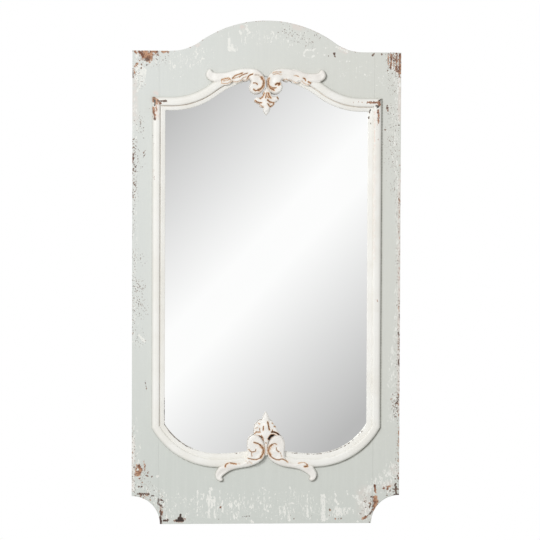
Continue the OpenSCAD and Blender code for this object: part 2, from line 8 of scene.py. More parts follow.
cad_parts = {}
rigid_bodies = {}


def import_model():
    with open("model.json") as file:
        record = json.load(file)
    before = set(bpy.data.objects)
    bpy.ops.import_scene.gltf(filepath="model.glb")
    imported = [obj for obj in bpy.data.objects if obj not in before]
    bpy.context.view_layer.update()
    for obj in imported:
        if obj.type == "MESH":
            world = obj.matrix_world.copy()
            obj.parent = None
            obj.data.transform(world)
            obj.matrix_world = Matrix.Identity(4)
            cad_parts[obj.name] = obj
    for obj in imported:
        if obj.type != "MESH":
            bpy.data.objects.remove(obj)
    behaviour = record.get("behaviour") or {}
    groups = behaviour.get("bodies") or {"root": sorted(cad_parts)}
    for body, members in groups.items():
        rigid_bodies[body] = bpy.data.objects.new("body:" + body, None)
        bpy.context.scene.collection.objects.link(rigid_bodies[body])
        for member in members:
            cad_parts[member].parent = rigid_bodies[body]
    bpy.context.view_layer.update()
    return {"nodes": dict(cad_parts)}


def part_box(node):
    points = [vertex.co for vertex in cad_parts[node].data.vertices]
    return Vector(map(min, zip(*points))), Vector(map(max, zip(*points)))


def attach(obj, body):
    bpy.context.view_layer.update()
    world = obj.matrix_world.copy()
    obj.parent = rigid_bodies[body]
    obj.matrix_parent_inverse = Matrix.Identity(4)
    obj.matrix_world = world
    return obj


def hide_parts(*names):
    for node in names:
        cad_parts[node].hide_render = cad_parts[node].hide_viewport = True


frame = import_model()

MM = 0.001

for obj in list(bpy.data.objects):
    if obj.type in ("LIGHT", "CAMERA") or obj.name == "Cube":
        bpy.data.objects.remove(obj)


def node_mm(node):
    """Lowest and highest corner of a CAD node, in millimetres."""
    low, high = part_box(node)
    return np.array(low) / MM, np.array(high) / MM


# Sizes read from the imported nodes, in millimetres
stile_low, stile_high = node_mm("right_stile")
side_low, side_high = node_mm("moulding_right")
crest_low, crest_high = node_mm("crest_rail")
FRONT_Y, BACK_Y = stile_low[1], stile_high[1]
GLASS_Y, PANEL_Y = node_mm("mirror_glass")[0][1], node_mm("back_panel")[0][1]
FRAME_HALF, STILE_IN = stile_high[0], stile_low[0]
SHOULDER_Z, CREST_TOP_Z = stile_high[2], crest_high[2]
SIGHT_HALF = side_low[0]
MOULD_W = side_high[0] - side_low[0]

# Radii of the outlines, and the margins between the boards, the mouldings and the glass
CREST_R, CREST_HOLLOW_R, NOTCH_R = 264.0, 110.0, 64.0
ARCH_R, HOLLOW_R = 190.0, 170.0
CORNER_R, CORNER_SET, SILL_R = 143.0, 122.0, 360.0
REVEAL, RAIL_FOOT = 5.0, 1
GLASS_LAP, GLASS_GAP, BLOCK_H, BACK_LAP = 8.0, 1.5, 3.0, 14.0
# Where the top and bottom mouldings end under the carvings
TOP_END_X, BOTTOM_END_X = 59.0, 20.0

# The opening's arch and its hollow curves meet in the direction that a triangle of 3, 4 and 5 has
JOIN_TURN = math.degrees(math.atan2(4, 3))
JOIN_ACROSS, JOIN_FALL = 0.6, 0.2

SILL_Z = node_mm("moulding_bottom_right")[0][2] + MOULD_W
CREST_CZ = CREST_TOP_Z - CREST_R
crest_sum = CREST_R + CREST_HOLLOW_R
CREST_LAND_X = math.sqrt(crest_sum**2 - (crest_sum - CREST_TOP_Z + SHOULDER_Z) ** 2)
sight_sum = ARCH_R + HOLLOW_R
HOLLOW_X = JOIN_ACROSS * sight_sum
PEAK_Z = crest_low[2] + RAIL_FOOT + JOIN_FALL * sight_sum - REVEAL
LOW_Z = PEAK_Z - JOIN_FALL * sight_sum
ARCH_CZ, HOLLOW_CZ = PEAK_Z - ARCH_R, LOW_Z + HOLLOW_R
CORNER_X, CORNER_CZ, SILL_CZ = SIGHT_HALF - CORNER_SET, SILL_Z + CORNER_R, SILL_Z + SILL_R
POCKET_HALF = STILE_IN + (GLASS_LAP + GLASS_GAP)
POCKET_LOW = SILL_Z - (REVEAL + GLASS_LAP + BLOCK_H)
POCKET_TOP = PEAK_Z + (REVEAL + GLASS_LAP + GLASS_GAP)
RECESS_HALF = POCKET_HALF + BACK_LAP
RECESS_LOW, RECESS_TOP = POCKET_LOW - BACK_LAP, POCKET_TOP + BACK_LAP


# Camera, light and surroundings

# The photograph is a square frame, taken from slightly left of the middle and slightly above it
PHOTO = 540
LENS, SENSOR = 132.0, 36.0
VIEW_TURN, VIEW_RISE, VIEW_ROLL = (math.radians(angle) for angle in (-3.3, 1.45, 0.21))
VIEW_DISTANCE = 4496.0
VIEW_POINT = np.array((7.6, FRONT_Y, 578.0))

toward_camera = np.array((
    math.sin(VIEW_TURN) * math.cos(VIEW_RISE),
    -math.cos(VIEW_TURN) * math.cos(VIEW_RISE),
    math.sin(VIEW_RISE),
))
CAMERA_AT = VIEW_POINT + toward_camera * VIEW_DISTANCE
level = np.array((math.cos(VIEW_TURN), math.sin(VIEW_TURN), 0))
upright = np.cross(toward_camera, level)
CAMERA_RIGHT = level * math.cos(VIEW_ROLL) + upright * math.sin(VIEW_ROLL)
CAMERA_UP = upright * math.cos(VIEW_ROLL) - level * math.sin(VIEW_ROLL)
PIXEL = SENSOR / LENS / PHOTO
MM_PER_PX = PIXEL * VIEW_DISTANCE


def from_photo(px, py):
    """X and Z in millimetres of the point of the boards' face that a pixel of the photograph shows."""
    ray = CAMERA_RIGHT * (px - PHOTO / 2) * PIXEL - CAMERA_UP * (py - PHOTO / 2) * PIXEL - toward_camera
    spot = CAMERA_AT + ray * (FRONT_Y - CAMERA_AT[1]) / ray[1]
    return spot[0], spot[2]


def make_camera():
    data = bpy.data.cameras.new("camera")
    data.lens = LENS
    data.sensor_width = SENSOR
    data.clip_end = 60
    camera = bpy.data.objects.new("camera", data)
    turned = Matrix((CAMERA_RIGHT, CAMERA_UP, toward_camera)).transposed().to_4x4()
    camera.matrix_world = Matrix.Translation(CAMERA_AT * MM) @ turned
    bpy.context.scene.collection.objects.link(camera)
    bpy.context.scene.camera = camera


def make_key_light():
    """A soft light from the upper left."""
    data = bpy.data.lights.new("key", "AREA")
    data.size = 1.1
    data.energy = 124
    light = bpy.data.objects.new("key", data)
    light.location = (-2.1, -4.35, 2.1)
    target = Vector((0, 0, 0.6))
    light.rotation_euler = (target - light.location).to_track_quat("-Z", "Y").to_euler()
    bpy.context.scene.collection.objects.link(light)


def srgb(red, green, blue):
    """A colour given by its screen values from 0 to 255."""
    def linear(value):
        value /= 255
        return value / 12.92 if value <= 0.04045 else ((value + 0.055) / 1.055) ** 2.4
    return linear(red), linear(green), linear(blue), 1.0


class Value:
    """What a node gives out, for sums with numbers and with what other nodes give."""

    def __init__(self, nodes, socket):
        self.nodes = nodes
        self.socket = socket

    def __add__(self, other):
        return self.nodes.math("ADD", self, other)

    def __sub__(self, other):
        return self.nodes.math("SUBTRACT", self, other)

    def __mul__(self, other):
        return self.nodes.math("MULTIPLY", self, other)

    def __truediv__(self, other):
        return self.nodes.math("DIVIDE", self, other)

    def most(self, other):
        return self.nodes.math("MAXIMUM", self, other)

    def step(self, low, high, to_low=0.0, to_high=1.0):
        """A smooth step as the value goes from low to high."""
        made = self.nodes.node(
            "ShaderNodeMapRange", Value=self, From_Min=low, From_Max=high, To_Min=to_low, To_Max=to_high)
        made.interpolation_type = "SMOOTHSTEP"
        return Value(self.nodes, made.outputs[0])


class Nodes:
    """The nodes of one tree."""

    def __init__(self, tree):
        self.tree = tree

    def plug(self, socket, value):
        if isinstance(value, Value):
            self.tree.links.new(value.socket, socket)
        else:
            socket.default_value = value

    def node(self, kind, **inputs):
        made = self.tree.nodes.new(kind)
        for name, value in inputs.items():
            self.plug(made.inputs[name.replace("_", " ")], value)
        return made

    def out(self, kind, output=0, **inputs):
        return Value(self, self.node(kind, **inputs).outputs[output])

    def math(self, operation, a, b=0.0):
        made = self.node("ShaderNodeMath")
        made.operation = operation
        self.plug(made.inputs[0], a)
        self.plug(made.inputs[1], b)
        return Value(self, made.outputs[0])


class Shader(Nodes):
    """A Principled material that is built up from small steps."""

    def __init__(self, name, roughness=0.5, metallic=0.0):
        self.material = bpy.data.materials.new(name)
        self.material.use_nodes = True
        super().__init__(self.material.node_tree)
        self.principled = self.tree.nodes["Principled BSDF"]
        self.principled.inputs["Roughness"].default_value = roughness
        self.principled.inputs["Metallic"].default_value = metallic

    def place(self, x=1.0, z=1.0):
        """Object coordinates in metres, stretched across and upward."""
        coordinates = self.out("ShaderNodeTexCoord", "Object")
        return self.out("ShaderNodeMapping", Vector=coordinates, Scale=(x, 1.0, z))

    def axis(self, name):
        return self.out("ShaderNodeSeparateXYZ", name, Vector=self.place())

    def noise(self, scale, detail=2.0, rough=0.5, x=1.0, z=1.0, distort=0.0):
        return self.out(
            "ShaderNodeTexNoise", "Fac", Scale=scale, Detail=detail, Roughness=rough, Distortion=distort,
            Vector=self.place(x, z))

    def field(self, name):
        made = self.node("ShaderNodeAttribute")
        made.attribute_name = name
        return Value(self, made.outputs["Fac"])

    def mix(self, factor, a, b):
        """From a to b; three numbers are a colour on the screen, and four are a linear one."""
        made = self.node("ShaderNodeMix")
        made.data_type = "RGBA"
        self.plug(made.inputs["Factor"], factor)
        for side, colour in (("A", a), ("B", b)):
            screen = isinstance(colour, tuple) and len(colour) == 3
            self.plug(made.inputs[side], srgb(*colour) if screen else colour)
        return Value(self, made.outputs["Result"])

    def bump(self, height, strength, distance):
        made = self.out("ShaderNodeBump", Height=height, Strength=strength, Distance=distance)
        self.plug(self.principled.inputs["Normal"], made)

    def finish(self, colour, roughness=None):
        self.plug(self.principled.inputs["Base Color"], colour)
        if roughness is not None:
            self.plug(self.principled.inputs["Roughness"], roughness)
        return self.material


# The light of the surroundings on everything that isn't a mirror, where white is 1
SHADE_LIGHT = 0.54


def make_world():
    """White where the camera, a mirror or glass sees it, and a softer light on everything else."""
    world = bpy.data.worlds.new("studio")
    world.use_nodes = True
    bpy.context.scene.world = world
    nodes = Nodes(world.node_tree)
    path = nodes.node("ShaderNodeLightPath").outputs
    seen = Value(nodes, path["Is Camera Ray"]).most(Value(nodes, path["Is Glossy Ray"]))
    seen = seen.most(Value(nodes, path["Is Transmission Ray"]))
    background = world.node_tree.nodes["Background"].inputs
    strength = nodes.out("ShaderNodeMapRange", Value=seen, To_Min=SHADE_LIGHT, To_Max=1.0)
    nodes.plug(background["Strength"], strength)
    nodes.plug(background["Color"], (1, 1, 1, 1))


CARD_Y, CARD_MIDDLE_Z = -6.0, 0.577
CARD_SIZE = (4.2, 5.2, 1)
# The card's distance from the mirror, where the camera's is 1
card_reach = (GLASS_Y * MM - CARD_Y) / (GLASS_Y - CAMERA_AT[1]) / MM
# The card's bright band: its direction across the mirror, its shift and half width in metres, and how fast
# and how far the card darkens away from it
BAND_X, BAND_Z = 0.72, -0.69
BAND_SHIFT, BAND_HALF, BAND_FALL, DARKEST = 0.02, 0.042, 1.37, 0.5


def seen_on_card(x, z):
    """The card's point that the camera sees in the mirror at x and z, in metres."""
    return x + (x - CAMERA_AT[0] * MM) * card_reach, z + (z - CAMERA_AT[2] * MM) * card_reach


def make_stage():
    """A pale floor disc below the frame, and a grey and white card that only the mirror sees."""
    bpy.ops.mesh.primitive_circle_add(vertices=96, radius=1.4, fill_type="NGON", location=(0, -0.2, -0.35))
    floor = bpy.context.object
    floor.name = "floor"
    s = Shader("floor_paper", roughness=0.9)
    floor.data.materials.append(s.finish(s.mix(s.noise(3), (238, 238, 237), (234, 234, 233))))

    bpy.ops.mesh.primitive_plane_add(size=1, rotation=(math.pi / 2, 0, 0))
    card = bpy.context.object
    card.name = "reflected_card"
    card.location = (seen_on_card(0, 0)[0], CARD_Y, seen_on_card(0, CARD_MIDDLE_Z)[1])
    card.scale = CARD_SIZE
    card.visible_camera = False
    card.visible_diffuse = False
    card.visible_shadow = False
    card.visible_volume_scatter = False
    card.data.materials.append(card_material())


def card_material():
    """Light falls off on both sides of a bright band that crosses the card from bottom left to top right."""
    s = Shader("card_light")
    for node in list(s.tree.nodes):
        s.tree.nodes.remove(node)
    spot = s.node("ShaderNodeSeparateXYZ", Vector=s.out("ShaderNodeNewGeometry", "Position")).outputs
    # Back from a point of the card to the mirror's point that shows it
    x = (Value(s, spot["X"]) + CAMERA_AT[0] * MM * card_reach) / (1 + card_reach)
    z = (Value(s, spot["Z"]) + CAMERA_AT[2] * MM * card_reach) / (1 + card_reach)
    across = x * BAND_X + (z - CARD_MIDDLE_Z) * BAND_Z
    fall = (s.math("ABSOLUTE", across + BAND_SHIFT) - BAND_HALF).most(0.0) * BAND_FALL
    tone = s.mix(s.math("MINIMUM", fall, DARKEST), (1, 1, 1, 1), (0, 0, 0, 1))
    s.node("ShaderNodeOutputMaterial", Surface=s.out("ShaderNodeEmission", Color=tone, Strength=1.0))
    return s.material


# Finishes of the painted wood

def worn_wood(s):
    """Brown wood as it shows where the paint has gone, lighter and darker along its grain."""
    patch = s.noise(90, 4, 0.65, z=0.16) * 0.5 + s.noise(75, 2) * 0.5
    warm = s.mix(patch.step(0.4, 0.58), (124, 80, 58), (192, 148, 118))
    return s.mix(s.noise(420, 2).step(0.5, 0.72), warm, (84, 56, 44))


def chipping(s, blotch, fine, stretch=0.75):
    """Noise around 0 whose high places are the first to lose their paint."""
    broad = s.noise(blotch, 4, 0.62, z=stretch, distort=0.4)
    return broad * 0.6 + s.noise(fine, 2, 0.6, z=stretch) * 0.4 - 0.5


def lost(field, rough, amount, start, soft):
    """1 where a field of wear, roughened by noise, has taken the paint off; nothing where the field is 0."""
    return (field + rough * amount).step(start, start + soft) * field.step(0.0, 0.12)


def board_material():
    """Pale grey-green paint brushed up and down, rubbed through to white primer and to brown wood."""
    s = Shader("board_paint")
    names = ("brown", "dark", "primer", "speck", "pink", "edge")
    brown, dark, primer, speck, pink, edge = (s.field(name) for name in names)
    cloud = s.noise(11, 3, 0.55, z=0.6) - 0.5
    across = s.axis("X").step(-0.3, 0.3) + cloud * 0.6
    tone = s.mix(across, (213, 216, 212), (213, 214, 207))
    low = (s.axis("Z") + across * 0.12).step(0.52, 0.06) + cloud * 0.5
    tone = s.mix(low * 0.8, tone, (202, 206, 200))
    streak = s.noise(150, 3, 0.6, z=0.045)
    hair = s.noise(520, 2, 0.6, z=0.03)
    tone = s.mix(streak.step(0.42, 0.72) * 0.14, tone, (223, 225, 220))
    tone = s.mix(hair.step(0.5, 0.3) * 0.08, tone, (190, 196, 192))
    tone = s.mix(s.noise(330, 3, 0.7).step(0.55, 0.8) * 0.28, tone, (234, 233, 226))
    tone = s.mix(pink * s.noise(120, 3).step(0.3, 0.6, 0.1, 0.8), tone, (226, 210, 202))

    chip = chipping(s, 190, 620)
    streaky = s.noise(260, 4, 0.7, z=0.32, distort=0.8) - 0.5
    near_edge = edge.step(0.3, 0.0)
    rim = (brown * 0.9).most(primer).most(near_edge * 0.34)
    flake = (s.noise(260, 2, 0.5, z=0.7) + speck * 0.11).step(0.735, 0.76)
    white = lost(rim, chip * 0.4 + streaky * 0.6, 5.5, 0.66, 0.12).most(flake * 0.6)
    bare = lost(brown.most(near_edge * 0.16), chip, 5.0, 0.52, 0.12)
    pepper = s.noise(500, 1, 0.5, z=0.7) + speck * 0.15
    soiled = lost(dark, chip, 3.6, 0.5, 0.16).most(pepper.step(0.71, 0.76) * speck.step(0.0, 0.1))

    colour = s.mix(white, tone, s.mix(s.noise(200, 3), (240, 240, 235), (228, 228, 221)))
    colour = s.mix(bare, colour, worn_wood(s))
    soil = s.mix(s.noise(70, 2).step(0.35, 0.65), (88, 66, 56), (140, 118, 104))
    colour = s.mix(soiled, colour, s.mix(dark.step(0.85, 1.1), soil, (56, 44, 38)))
    # Grime, and painted shadow beside the mouldings and carvings on their right and lower sides
    grime_and_shade = s.field("fitted_grime_and_shadow") * s.noise(60, 2).step(0.3, 0.7, 0.7, 1.0)
    colour = s.mix(grime_and_shade, colour, (128, 127, 116))
    raw = s.mix(s.noise(60, 5, 0.6, z=0.07), (170, 138, 100), (196, 166, 128))
    raw = s.mix((edge + s.noise(40, 3)).step(0.62, 0.5) * 0.8, raw, tone)
    colour = s.mix(s.field("rear"), colour, raw)

    s.bump(streak * 0.25 + hair * 0.2 - white * 0.3 - bare * 0.4, 0.3, 0.0006)
    return s.finish(colour, bare * 0.2 + 0.6)


def ivory_tone(s, light, dark):
    """Ivory paint with soft clouds and fine brush marks."""
    tone = s.mix(s.noise(18, 3).step(0.35, 0.7), light, dark)
    return s.mix(s.noise(240, 3, 0.65).step(0.55, 0.8) * 0.35, tone, (222, 216, 206))


def moulding_material():
    """Ivory paint with wax and painted shade in the groove, painted shade on the bead's outer flank, and wood
    or grime showing at rubbed places, with painted shade along the lip beside the glass.
    """
    s = Shader("moulding_paint")
    tone = ivory_tone(s, (239, 238, 233), (234, 232, 225))
    chip = chipping(s, 170, 560)
    # Brown wax and painted shade in the groove, strongest on the runs whose groove faces away from the light
    wax = s.mix(s.noise(60, 2).step(0.4, 0.62), (170, 146, 126), (200, 180, 158))
    colour = s.mix(s.field("groove") * s.noise(45, 3, 0.6).step(0.3, 0.55, 0.6, 1.0), tone, wax)
    # Painted shade on the bead's outer flank, greyer towards the boards
    colour = s.mix(s.field("flank_shade") * 0.55, colour, (206, 206, 198))
    colour = s.mix(s.field("pink") * s.noise(150, 3).step(0.35, 0.6), colour, (232, 212, 200))
    brown = s.field("brown")
    colour = s.mix(lost(brown, chip, 3.5, 0.42, 0.12), colour, worn_wood(s))
    # Dark marks, and painted shade in a broken line along the lip's edge beside the glass
    grime_and_shade = s.mix(s.noise(110, 2).step(0.4, 0.6), (66, 62, 54), (110, 90, 76))
    colour = s.mix(lost(s.field("soil"), chip, 3.0, 0.42, 0.2), colour, grime_and_shade)
    s.bump(s.noise(300, 3, 0.6) - brown * 0.6, 0.14, 0.0005)
    return s.finish(colour, s.noise(30).step(0.3, 0.7, 0.42, 0.56))


def ornament_material():
    """Ivory paint on carved wood, with brown wax in the cuts, a thin tan wash beside them, and grime with
    painted shade at its foot.
    """
    s = Shader("ornament_paint")
    tone = ivory_tone(s, (240, 238, 233), (235, 231, 225))
    field = s.field("stain")
    stain = (field + chipping(s, 300, 800, 1.0) * 3.4) * field.step(0.0, 0.12)
    colour = s.mix(s.field("cut") * s.noise(120, 3).step(0.35, 0.65, 0.1, 0.5), tone, (230, 216, 202))
    for low, high, wax in (
        (0.24, 0.44, (220, 196, 170)), (0.48, 0.78, (194, 150, 112)), (0.88, 1.15, (142, 102, 74)),
        (1.35, 1.6, (50, 42, 38)),
    ):
        colour = s.mix(stain.step(low, high), colour, wax)
    # Grime and painted shade at the carving's foot, where it meets the board
    soil = s.field("foot") * s.noise(80, 3).step(0.3, 0.6, 0.15, 0.55)
    colour = s.mix(soil, colour, (186, 174, 160))
    s.bump(s.noise(420, 3, 0.6), 0.14, 0.0005)
    return s.finish(colour, s.noise(40).step(0.3, 0.7, 0.42, 0.58))


# Finishes of the other parts

def mirror_material():
    s = Shader("silvered_glass", metallic=1.0, roughness=0.0)
    return s.finish(s.mix(s.noise(6, 2), (0.985, 0.988, 0.985, 1), (0.965, 0.97, 0.967, 1)))


def hardboard_material():
    """Pressed fibre board, brown and slightly mottled, with the press's fine screen pattern."""
    s = Shader("hardboard")
    fibre = s.noise(700, 4, 0.7)
    tone = s.mix(s.noise(14, 3).step(0.3, 0.7), (136, 98, 66), (154, 114, 78))
    tone = s.mix(fibre.step(0.5, 0.78), tone, (186, 148, 106))
    tone = s.mix(fibre.step(0.42, 0.22), tone, (96, 66, 44))
    waves = s.math("SINE", s.axis("X") * 2800.0) * s.math("SINE", s.axis("Z") * 2800.0)
    s.bump(waves * 0.2 + fibre, 0.3, 0.0004)
    return s.finish(tone, fibre.step(0.3, 0.7, 0.6, 0.82))


def zinc_material():
    """Dull zinc-plated steel with faint crystals and wiping marks."""
    s = Shader("zinc_steel", metallic=1.0)
    crystal = s.out("ShaderNodeTexVoronoi", "Distance", Scale=900.0, Vector=s.place())
    tone = s.mix(s.noise(160, 3).step(0.3, 0.7), (186, 188, 190), (206, 207, 205))
    tone = s.mix(crystal.step(0.2, 0.6) * 0.3, tone, (168, 170, 174))
    s.bump(s.noise(1100, 3), 0.12, 0.0002)
    return s.finish(tone, s.noise(420, 3).step(0.3, 0.7, 0.26, 0.44))


def rubber_material():
    s = Shader("soft_rubber")
    grain = s.noise(1600, 3, 0.6)
    s.bump(grain, 0.3, 0.0003)
    tone = s.mix(s.noise(90, 3).step(0.3, 0.7), (48, 48, 50), (62, 62, 64))
    return s.finish(tone, grain.step(0.3, 0.7, 0.7, 0.88))


def packing_material():
    """Grey-brown corrugated card."""
    s = Shader("packing_card")
    ribs = s.math("SINE", s.axis("X") * 900.0)
    tone = s.mix(s.noise(500, 3).step(0.35, 0.7), (178, 148, 112), (196, 168, 132))
    tone = s.mix(ribs.step(-1.0, 1.0, 0.0, 0.15), tone, (150, 122, 90))
    s.bump(ribs, 0.3, 0.0006)
    return s.finish(tone, s.noise(300).step(0.3, 0.7, 0.78, 0.9))


def beech_material():
    """Plain dowel wood with short flecks along the grain."""
    s = Shader("bare_wood")
    grain = s.noise(260, 4, 0.6, x=0.08)
    tone = s.mix(grain.step(0.3, 0.7), (204, 170, 130), (222, 192, 152))
    tone = s.mix(s.noise(900, 2, x=0.2).step(0.62, 0.72), tone, (172, 134, 96))
    s.bump(grain, 0.2, 0.0003)
    return s.finish(tone, grain.step(0.3, 0.7, 0.55, 0.7))


# Meshes

# Distance between the points of an outline
POINT_STEP = 1.5


def new_piece(name, points, faces, material, fields, smooth=40.0):
    """A mesh piece from points in millimetres; fields are named numbers, one for each point."""
    mesh = bpy.data.meshes.new(name)
    mesh.from_pydata((np.asarray(points, float) * MM).tolist(), [], faces)
    for field, values in fields.items():
        layer = mesh.attributes.new(field, "FLOAT", "POINT")
        layer.data.foreach_set("value", np.asarray(values, np.float32))
    mesh.materials.append(material)
    piece = bpy.data.objects.new(name, mesh)
    bpy.context.scene.collection.objects.link(piece)
    mesh.shade_smooth()
    mesh.set_sharp_from_angle(angle=math.radians(smooth))
    return piece


def circle(cx, cz, r, angles):
    """Points [x, z] round a centre in the plane of the wall, at angles in radians."""
    return np.column_stack([cx + r * np.cos(angles), cz + r * np.sin(angles)])


def arc(cx, cz, r, start, end):
    """Points of an arc from start to end in degrees."""
    count = max(2, int(abs(math.radians(end - start)) * r / POINT_STEP) + 1)
    return circle(cx, cz, r, np.radians(np.linspace(start, end, count)))


def path(*corners, step=POINT_STEP):
    """Points along straight lines from corner to corner, without the last corner."""
    runs = []
    for a, b in zip(corners, corners[1:]):
        count = max(1, int(math.dist(a, b) / step))
        share = np.linspace(0, 1, count + 1)[:-1, None]
        runs.append(np.array(a) * (1 - share) + np.array(b) * share)
    return np.vstack(runs)


def mirrored(points):
    """The points on the other side of the middle, in the opposite order."""
    return np.asarray(points)[::-1] * (-1, 1)


def inside(points, loop):
    """Which of the points lie inside a closed outline."""
    result = np.zeros(len(points), bool)
    for (x0, z0), (x1, z1) in zip(loop, np.roll(loop, -1, axis=0)):
        if z0 != z1:
            crosses = (z0 > points[:, 1]) != (z1 > points[:, 1])
            result ^= crosses & (points[:, 0] < (x1 - x0) * (points[:, 1] - z0) / (z1 - z0) + x0)
    return result


def triangles(points, *counts):
    """The points joined into triangles; the first of them are closed loops, each as long as its count."""
    edges, first = [], 0
    for count in counts:
        edges += [(first + i, first + (i + 1) % count) for i in range(count)]
        first += count
    verts, _, faces, _, _, _ = geometry.delaunay_2d_cdt([Vector(p) for p in points], edges, [], 1, 1e-5)
    return np.array([tuple(v) for v in verts]), [tuple(f) for f in faces]


def inner_ring(loop, distance):
    """Points at a distance inside an outline that runs anticlockwise."""
    ahead = np.roll(loop, -1, axis=0) - np.roll(loop, 1, axis=0)
    ahead /= np.linalg.norm(ahead, axis=1)[:, None]
    return loop + np.column_stack([-ahead[:, 1], ahead[:, 0]]) * distance


class Spots:
    """Finds the nearest of many points [x, z]; the sides between them can be cut into parts as well."""

    def __init__(self, points, parts=1):
        self.points = np.asarray(points, float)
        self.tree = kdtree.KDTree(parts * len(self.points))
        following = np.roll(self.points, -1, axis=0)
        for part in range(parts):
            for i, p in enumerate(self.points + (following - self.points) * part / parts):
                self.tree.insert((p[0], p[1], 0), i)
        self.tree.balance()

    def nearest(self, points):
        """For each point, the index of the nearest spot and the distance to it."""
        found = [self.tree.find((p[0], p[1], 0)) for p in points]
        return np.array([f[1] for f in found]), np.array([f[2] for f in found])


FINE_SPACING = 1.15
# Rows of a grid of even triangles, as a share of its spacing
ROW_SHARE = 0.866
# How close to the last ring the grid comes, and how close a ring may come to another side of the outline
GRID_MARGIN, RING_MARGIN = 0.45, 0.93


def even_grid(low, high, spacing):
    xs = np.arange(low[0], high[0], spacing)
    zs = np.arange(low[1], high[1], spacing * ROW_SHARE)
    return np.array([(x + (i % 2) * spacing / 2, z) for i, z in enumerate(zs) for x in xs])


def filled(loop, spacing, rings, fine=None):
    """An outline filled with rings close to its edge and then a grid, which is finer where fine says so.

    Gives points, triangles, and each point's nearest outline point and its distance from the outline.
    """
    outline = Spots(loop, parts=4)
    low, high = loop.min(0), loop.max(0)
    grid = even_grid(low, high, spacing)
    if fine:
        dense = even_grid(low, high, FINE_SPACING)
        grid = np.vstack([grid[~fine(grid)], dense[fine(dense)]])
    grid = grid[inside(grid, loop)]
    _, gap = outline.nearest(grid)
    parts = [loop, grid[gap > rings[-1] + min(spacing, FINE_SPACING) * GRID_MARGIN]]
    for distance in rings:
        ring = inner_ring(loop, distance)
        _, gap = outline.nearest(ring)
        parts.append(ring[(gap > distance * RING_MARGIN) & inside(ring, loop)])
    points, faces = triangles(np.vstack(parts), len(loop))
    near, gap = outline.nearest(points)
    gap[:len(loop)] = 0
    return points, faces, near, gap


def held(values):
    """Values held between 0 and 1."""
    return np.clip(values, 0, 1)


def unevenness(points, scale, seed):
    return np.array([noise.noise((p[0] * scale, p[1] * scale, seed)) for p in points])


def at_depth(points, y):
    """Plane points [x, z] as points in space at depth y, one number or one for each point."""
    points = np.asarray(points)
    return np.column_stack([points[:, 0], np.broadcast_to(y, len(points)), points[:, 1]])


class Faces:
    """Points and faces of a piece that is put together from several sheets."""

    def __init__(self):
        self.points, self.faces, self.count = [], [], 0

    def sheet(self, points, faces, flip=False):
        order = [tuple(reversed(f)) for f in faces] if flip else faces
        self.faces += [tuple(i + self.count for i in f) for f in order]
        self.points.append(np.asarray(points, float))
        self.count += len(points)

    def wall(self, loop, front, back):
        """Two bands of faces that follow a closed outline, from its front to its back."""
        rings = [at_depth(loop, y) for y in (front, (front + back) / 2, back)]
        n = len(loop)
        faces = []
        for k in range(2):
            for i in range(n):
                j = (i + 1) % n
                faces.append((k * n + i, (k + 1) * n + i, (k + 1) * n + j, k * n + j))
        self.sheet(np.vstack(rings), faces)

    def merged(self, tolerance=0.002):
        """All points and faces, with points that lie on each other made one."""
        points = np.vstack(self.points)
        keys = np.round(points / tolerance).astype(np.int64)
        _, first, index = np.unique(keys, axis=0, return_index=True, return_inverse=True)
        index = index.ravel()
        faces = []
        for face in self.faces:
            kept = [int(index[i]) for i in face]
            kept = [v for n, v in enumerate(kept) if v != kept[n - 1]]
            if len(set(kept)) == len(kept) > 2:
                faces.append(tuple(kept))
        return points[first], faces


# Boards

FREE_ROUND, SEAM_ROUND = 1.5, 0.45
FRONT_SPACING, BACK_SPACING = 3.2, 14
BOARD_RINGS = (0.2, 0.65, 1.5)
# How deep the hand drew the sanded edges in: everywhere, in long waves and in short ones
DRAWN_IN, LONG_WAVE, SHORT_WAVE = 0.16, 0.16, 0.1
# Points closer than this count as one, and lie on a line that is this near
TOUCHING = 0.01

seam_turn = math.degrees(math.acos((FRAME_HALF - STILE_IN) / NOTCH_R))
SEAM_LOW_Z = NOTCH_R * math.sin(math.radians(seam_turn))


def crest_edge():
    """The crest's top edge from the right seam to the left one."""
    turn = math.degrees(math.acos(CREST_LAND_X / crest_sum))
    half = np.vstack([
        path((STILE_IN, SHOULDER_Z), (CREST_LAND_X, SHOULDER_Z)),
        arc(CREST_LAND_X, SHOULDER_Z + CREST_HOLLOW_R, CREST_HOLLOW_R, 270, 180 + turn)[:-1],
        arc(0, CREST_CZ, CREST_R, turn, 90),
    ])
    return np.vstack([half, mirrored(half)[1:]])


def sight_edge(grow):
    """The opening's top edge, grown outward, from the middle to the right corner."""
    return np.vstack([
        arc(0, ARCH_CZ, ARCH_R + grow, 90, JOIN_TURN)[:-1],
        arc(HOLLOW_X, HOLLOW_CZ, HOLLOW_R - grow, 180 + JOIN_TURN, 270),
    ])


def sill_edge(grow):
    """The opening's bottom edge, grown outward, from the right corner to the middle."""
    corner = math.degrees(math.acos((SIGHT_HALF + grow - CORNER_X) / (CORNER_R + grow)))
    sill = math.degrees(math.asin(CORNER_X / (SILL_R + grow)))
    return np.vstack([
        arc(CORNER_X, CORNER_CZ, CORNER_R + grow, -corner, -90)[:-1],
        arc(CORNER_X, SILL_CZ, SILL_R + grow, -90, -90 - sill),
    ])


def joined(*parts):
    """Runs of points as one closed outline, without repeated points."""
    points = np.vstack(parts)
    gap = np.linalg.norm(points - np.roll(points, 1, axis=0), axis=1)
    return points[gap > TOUCHING]


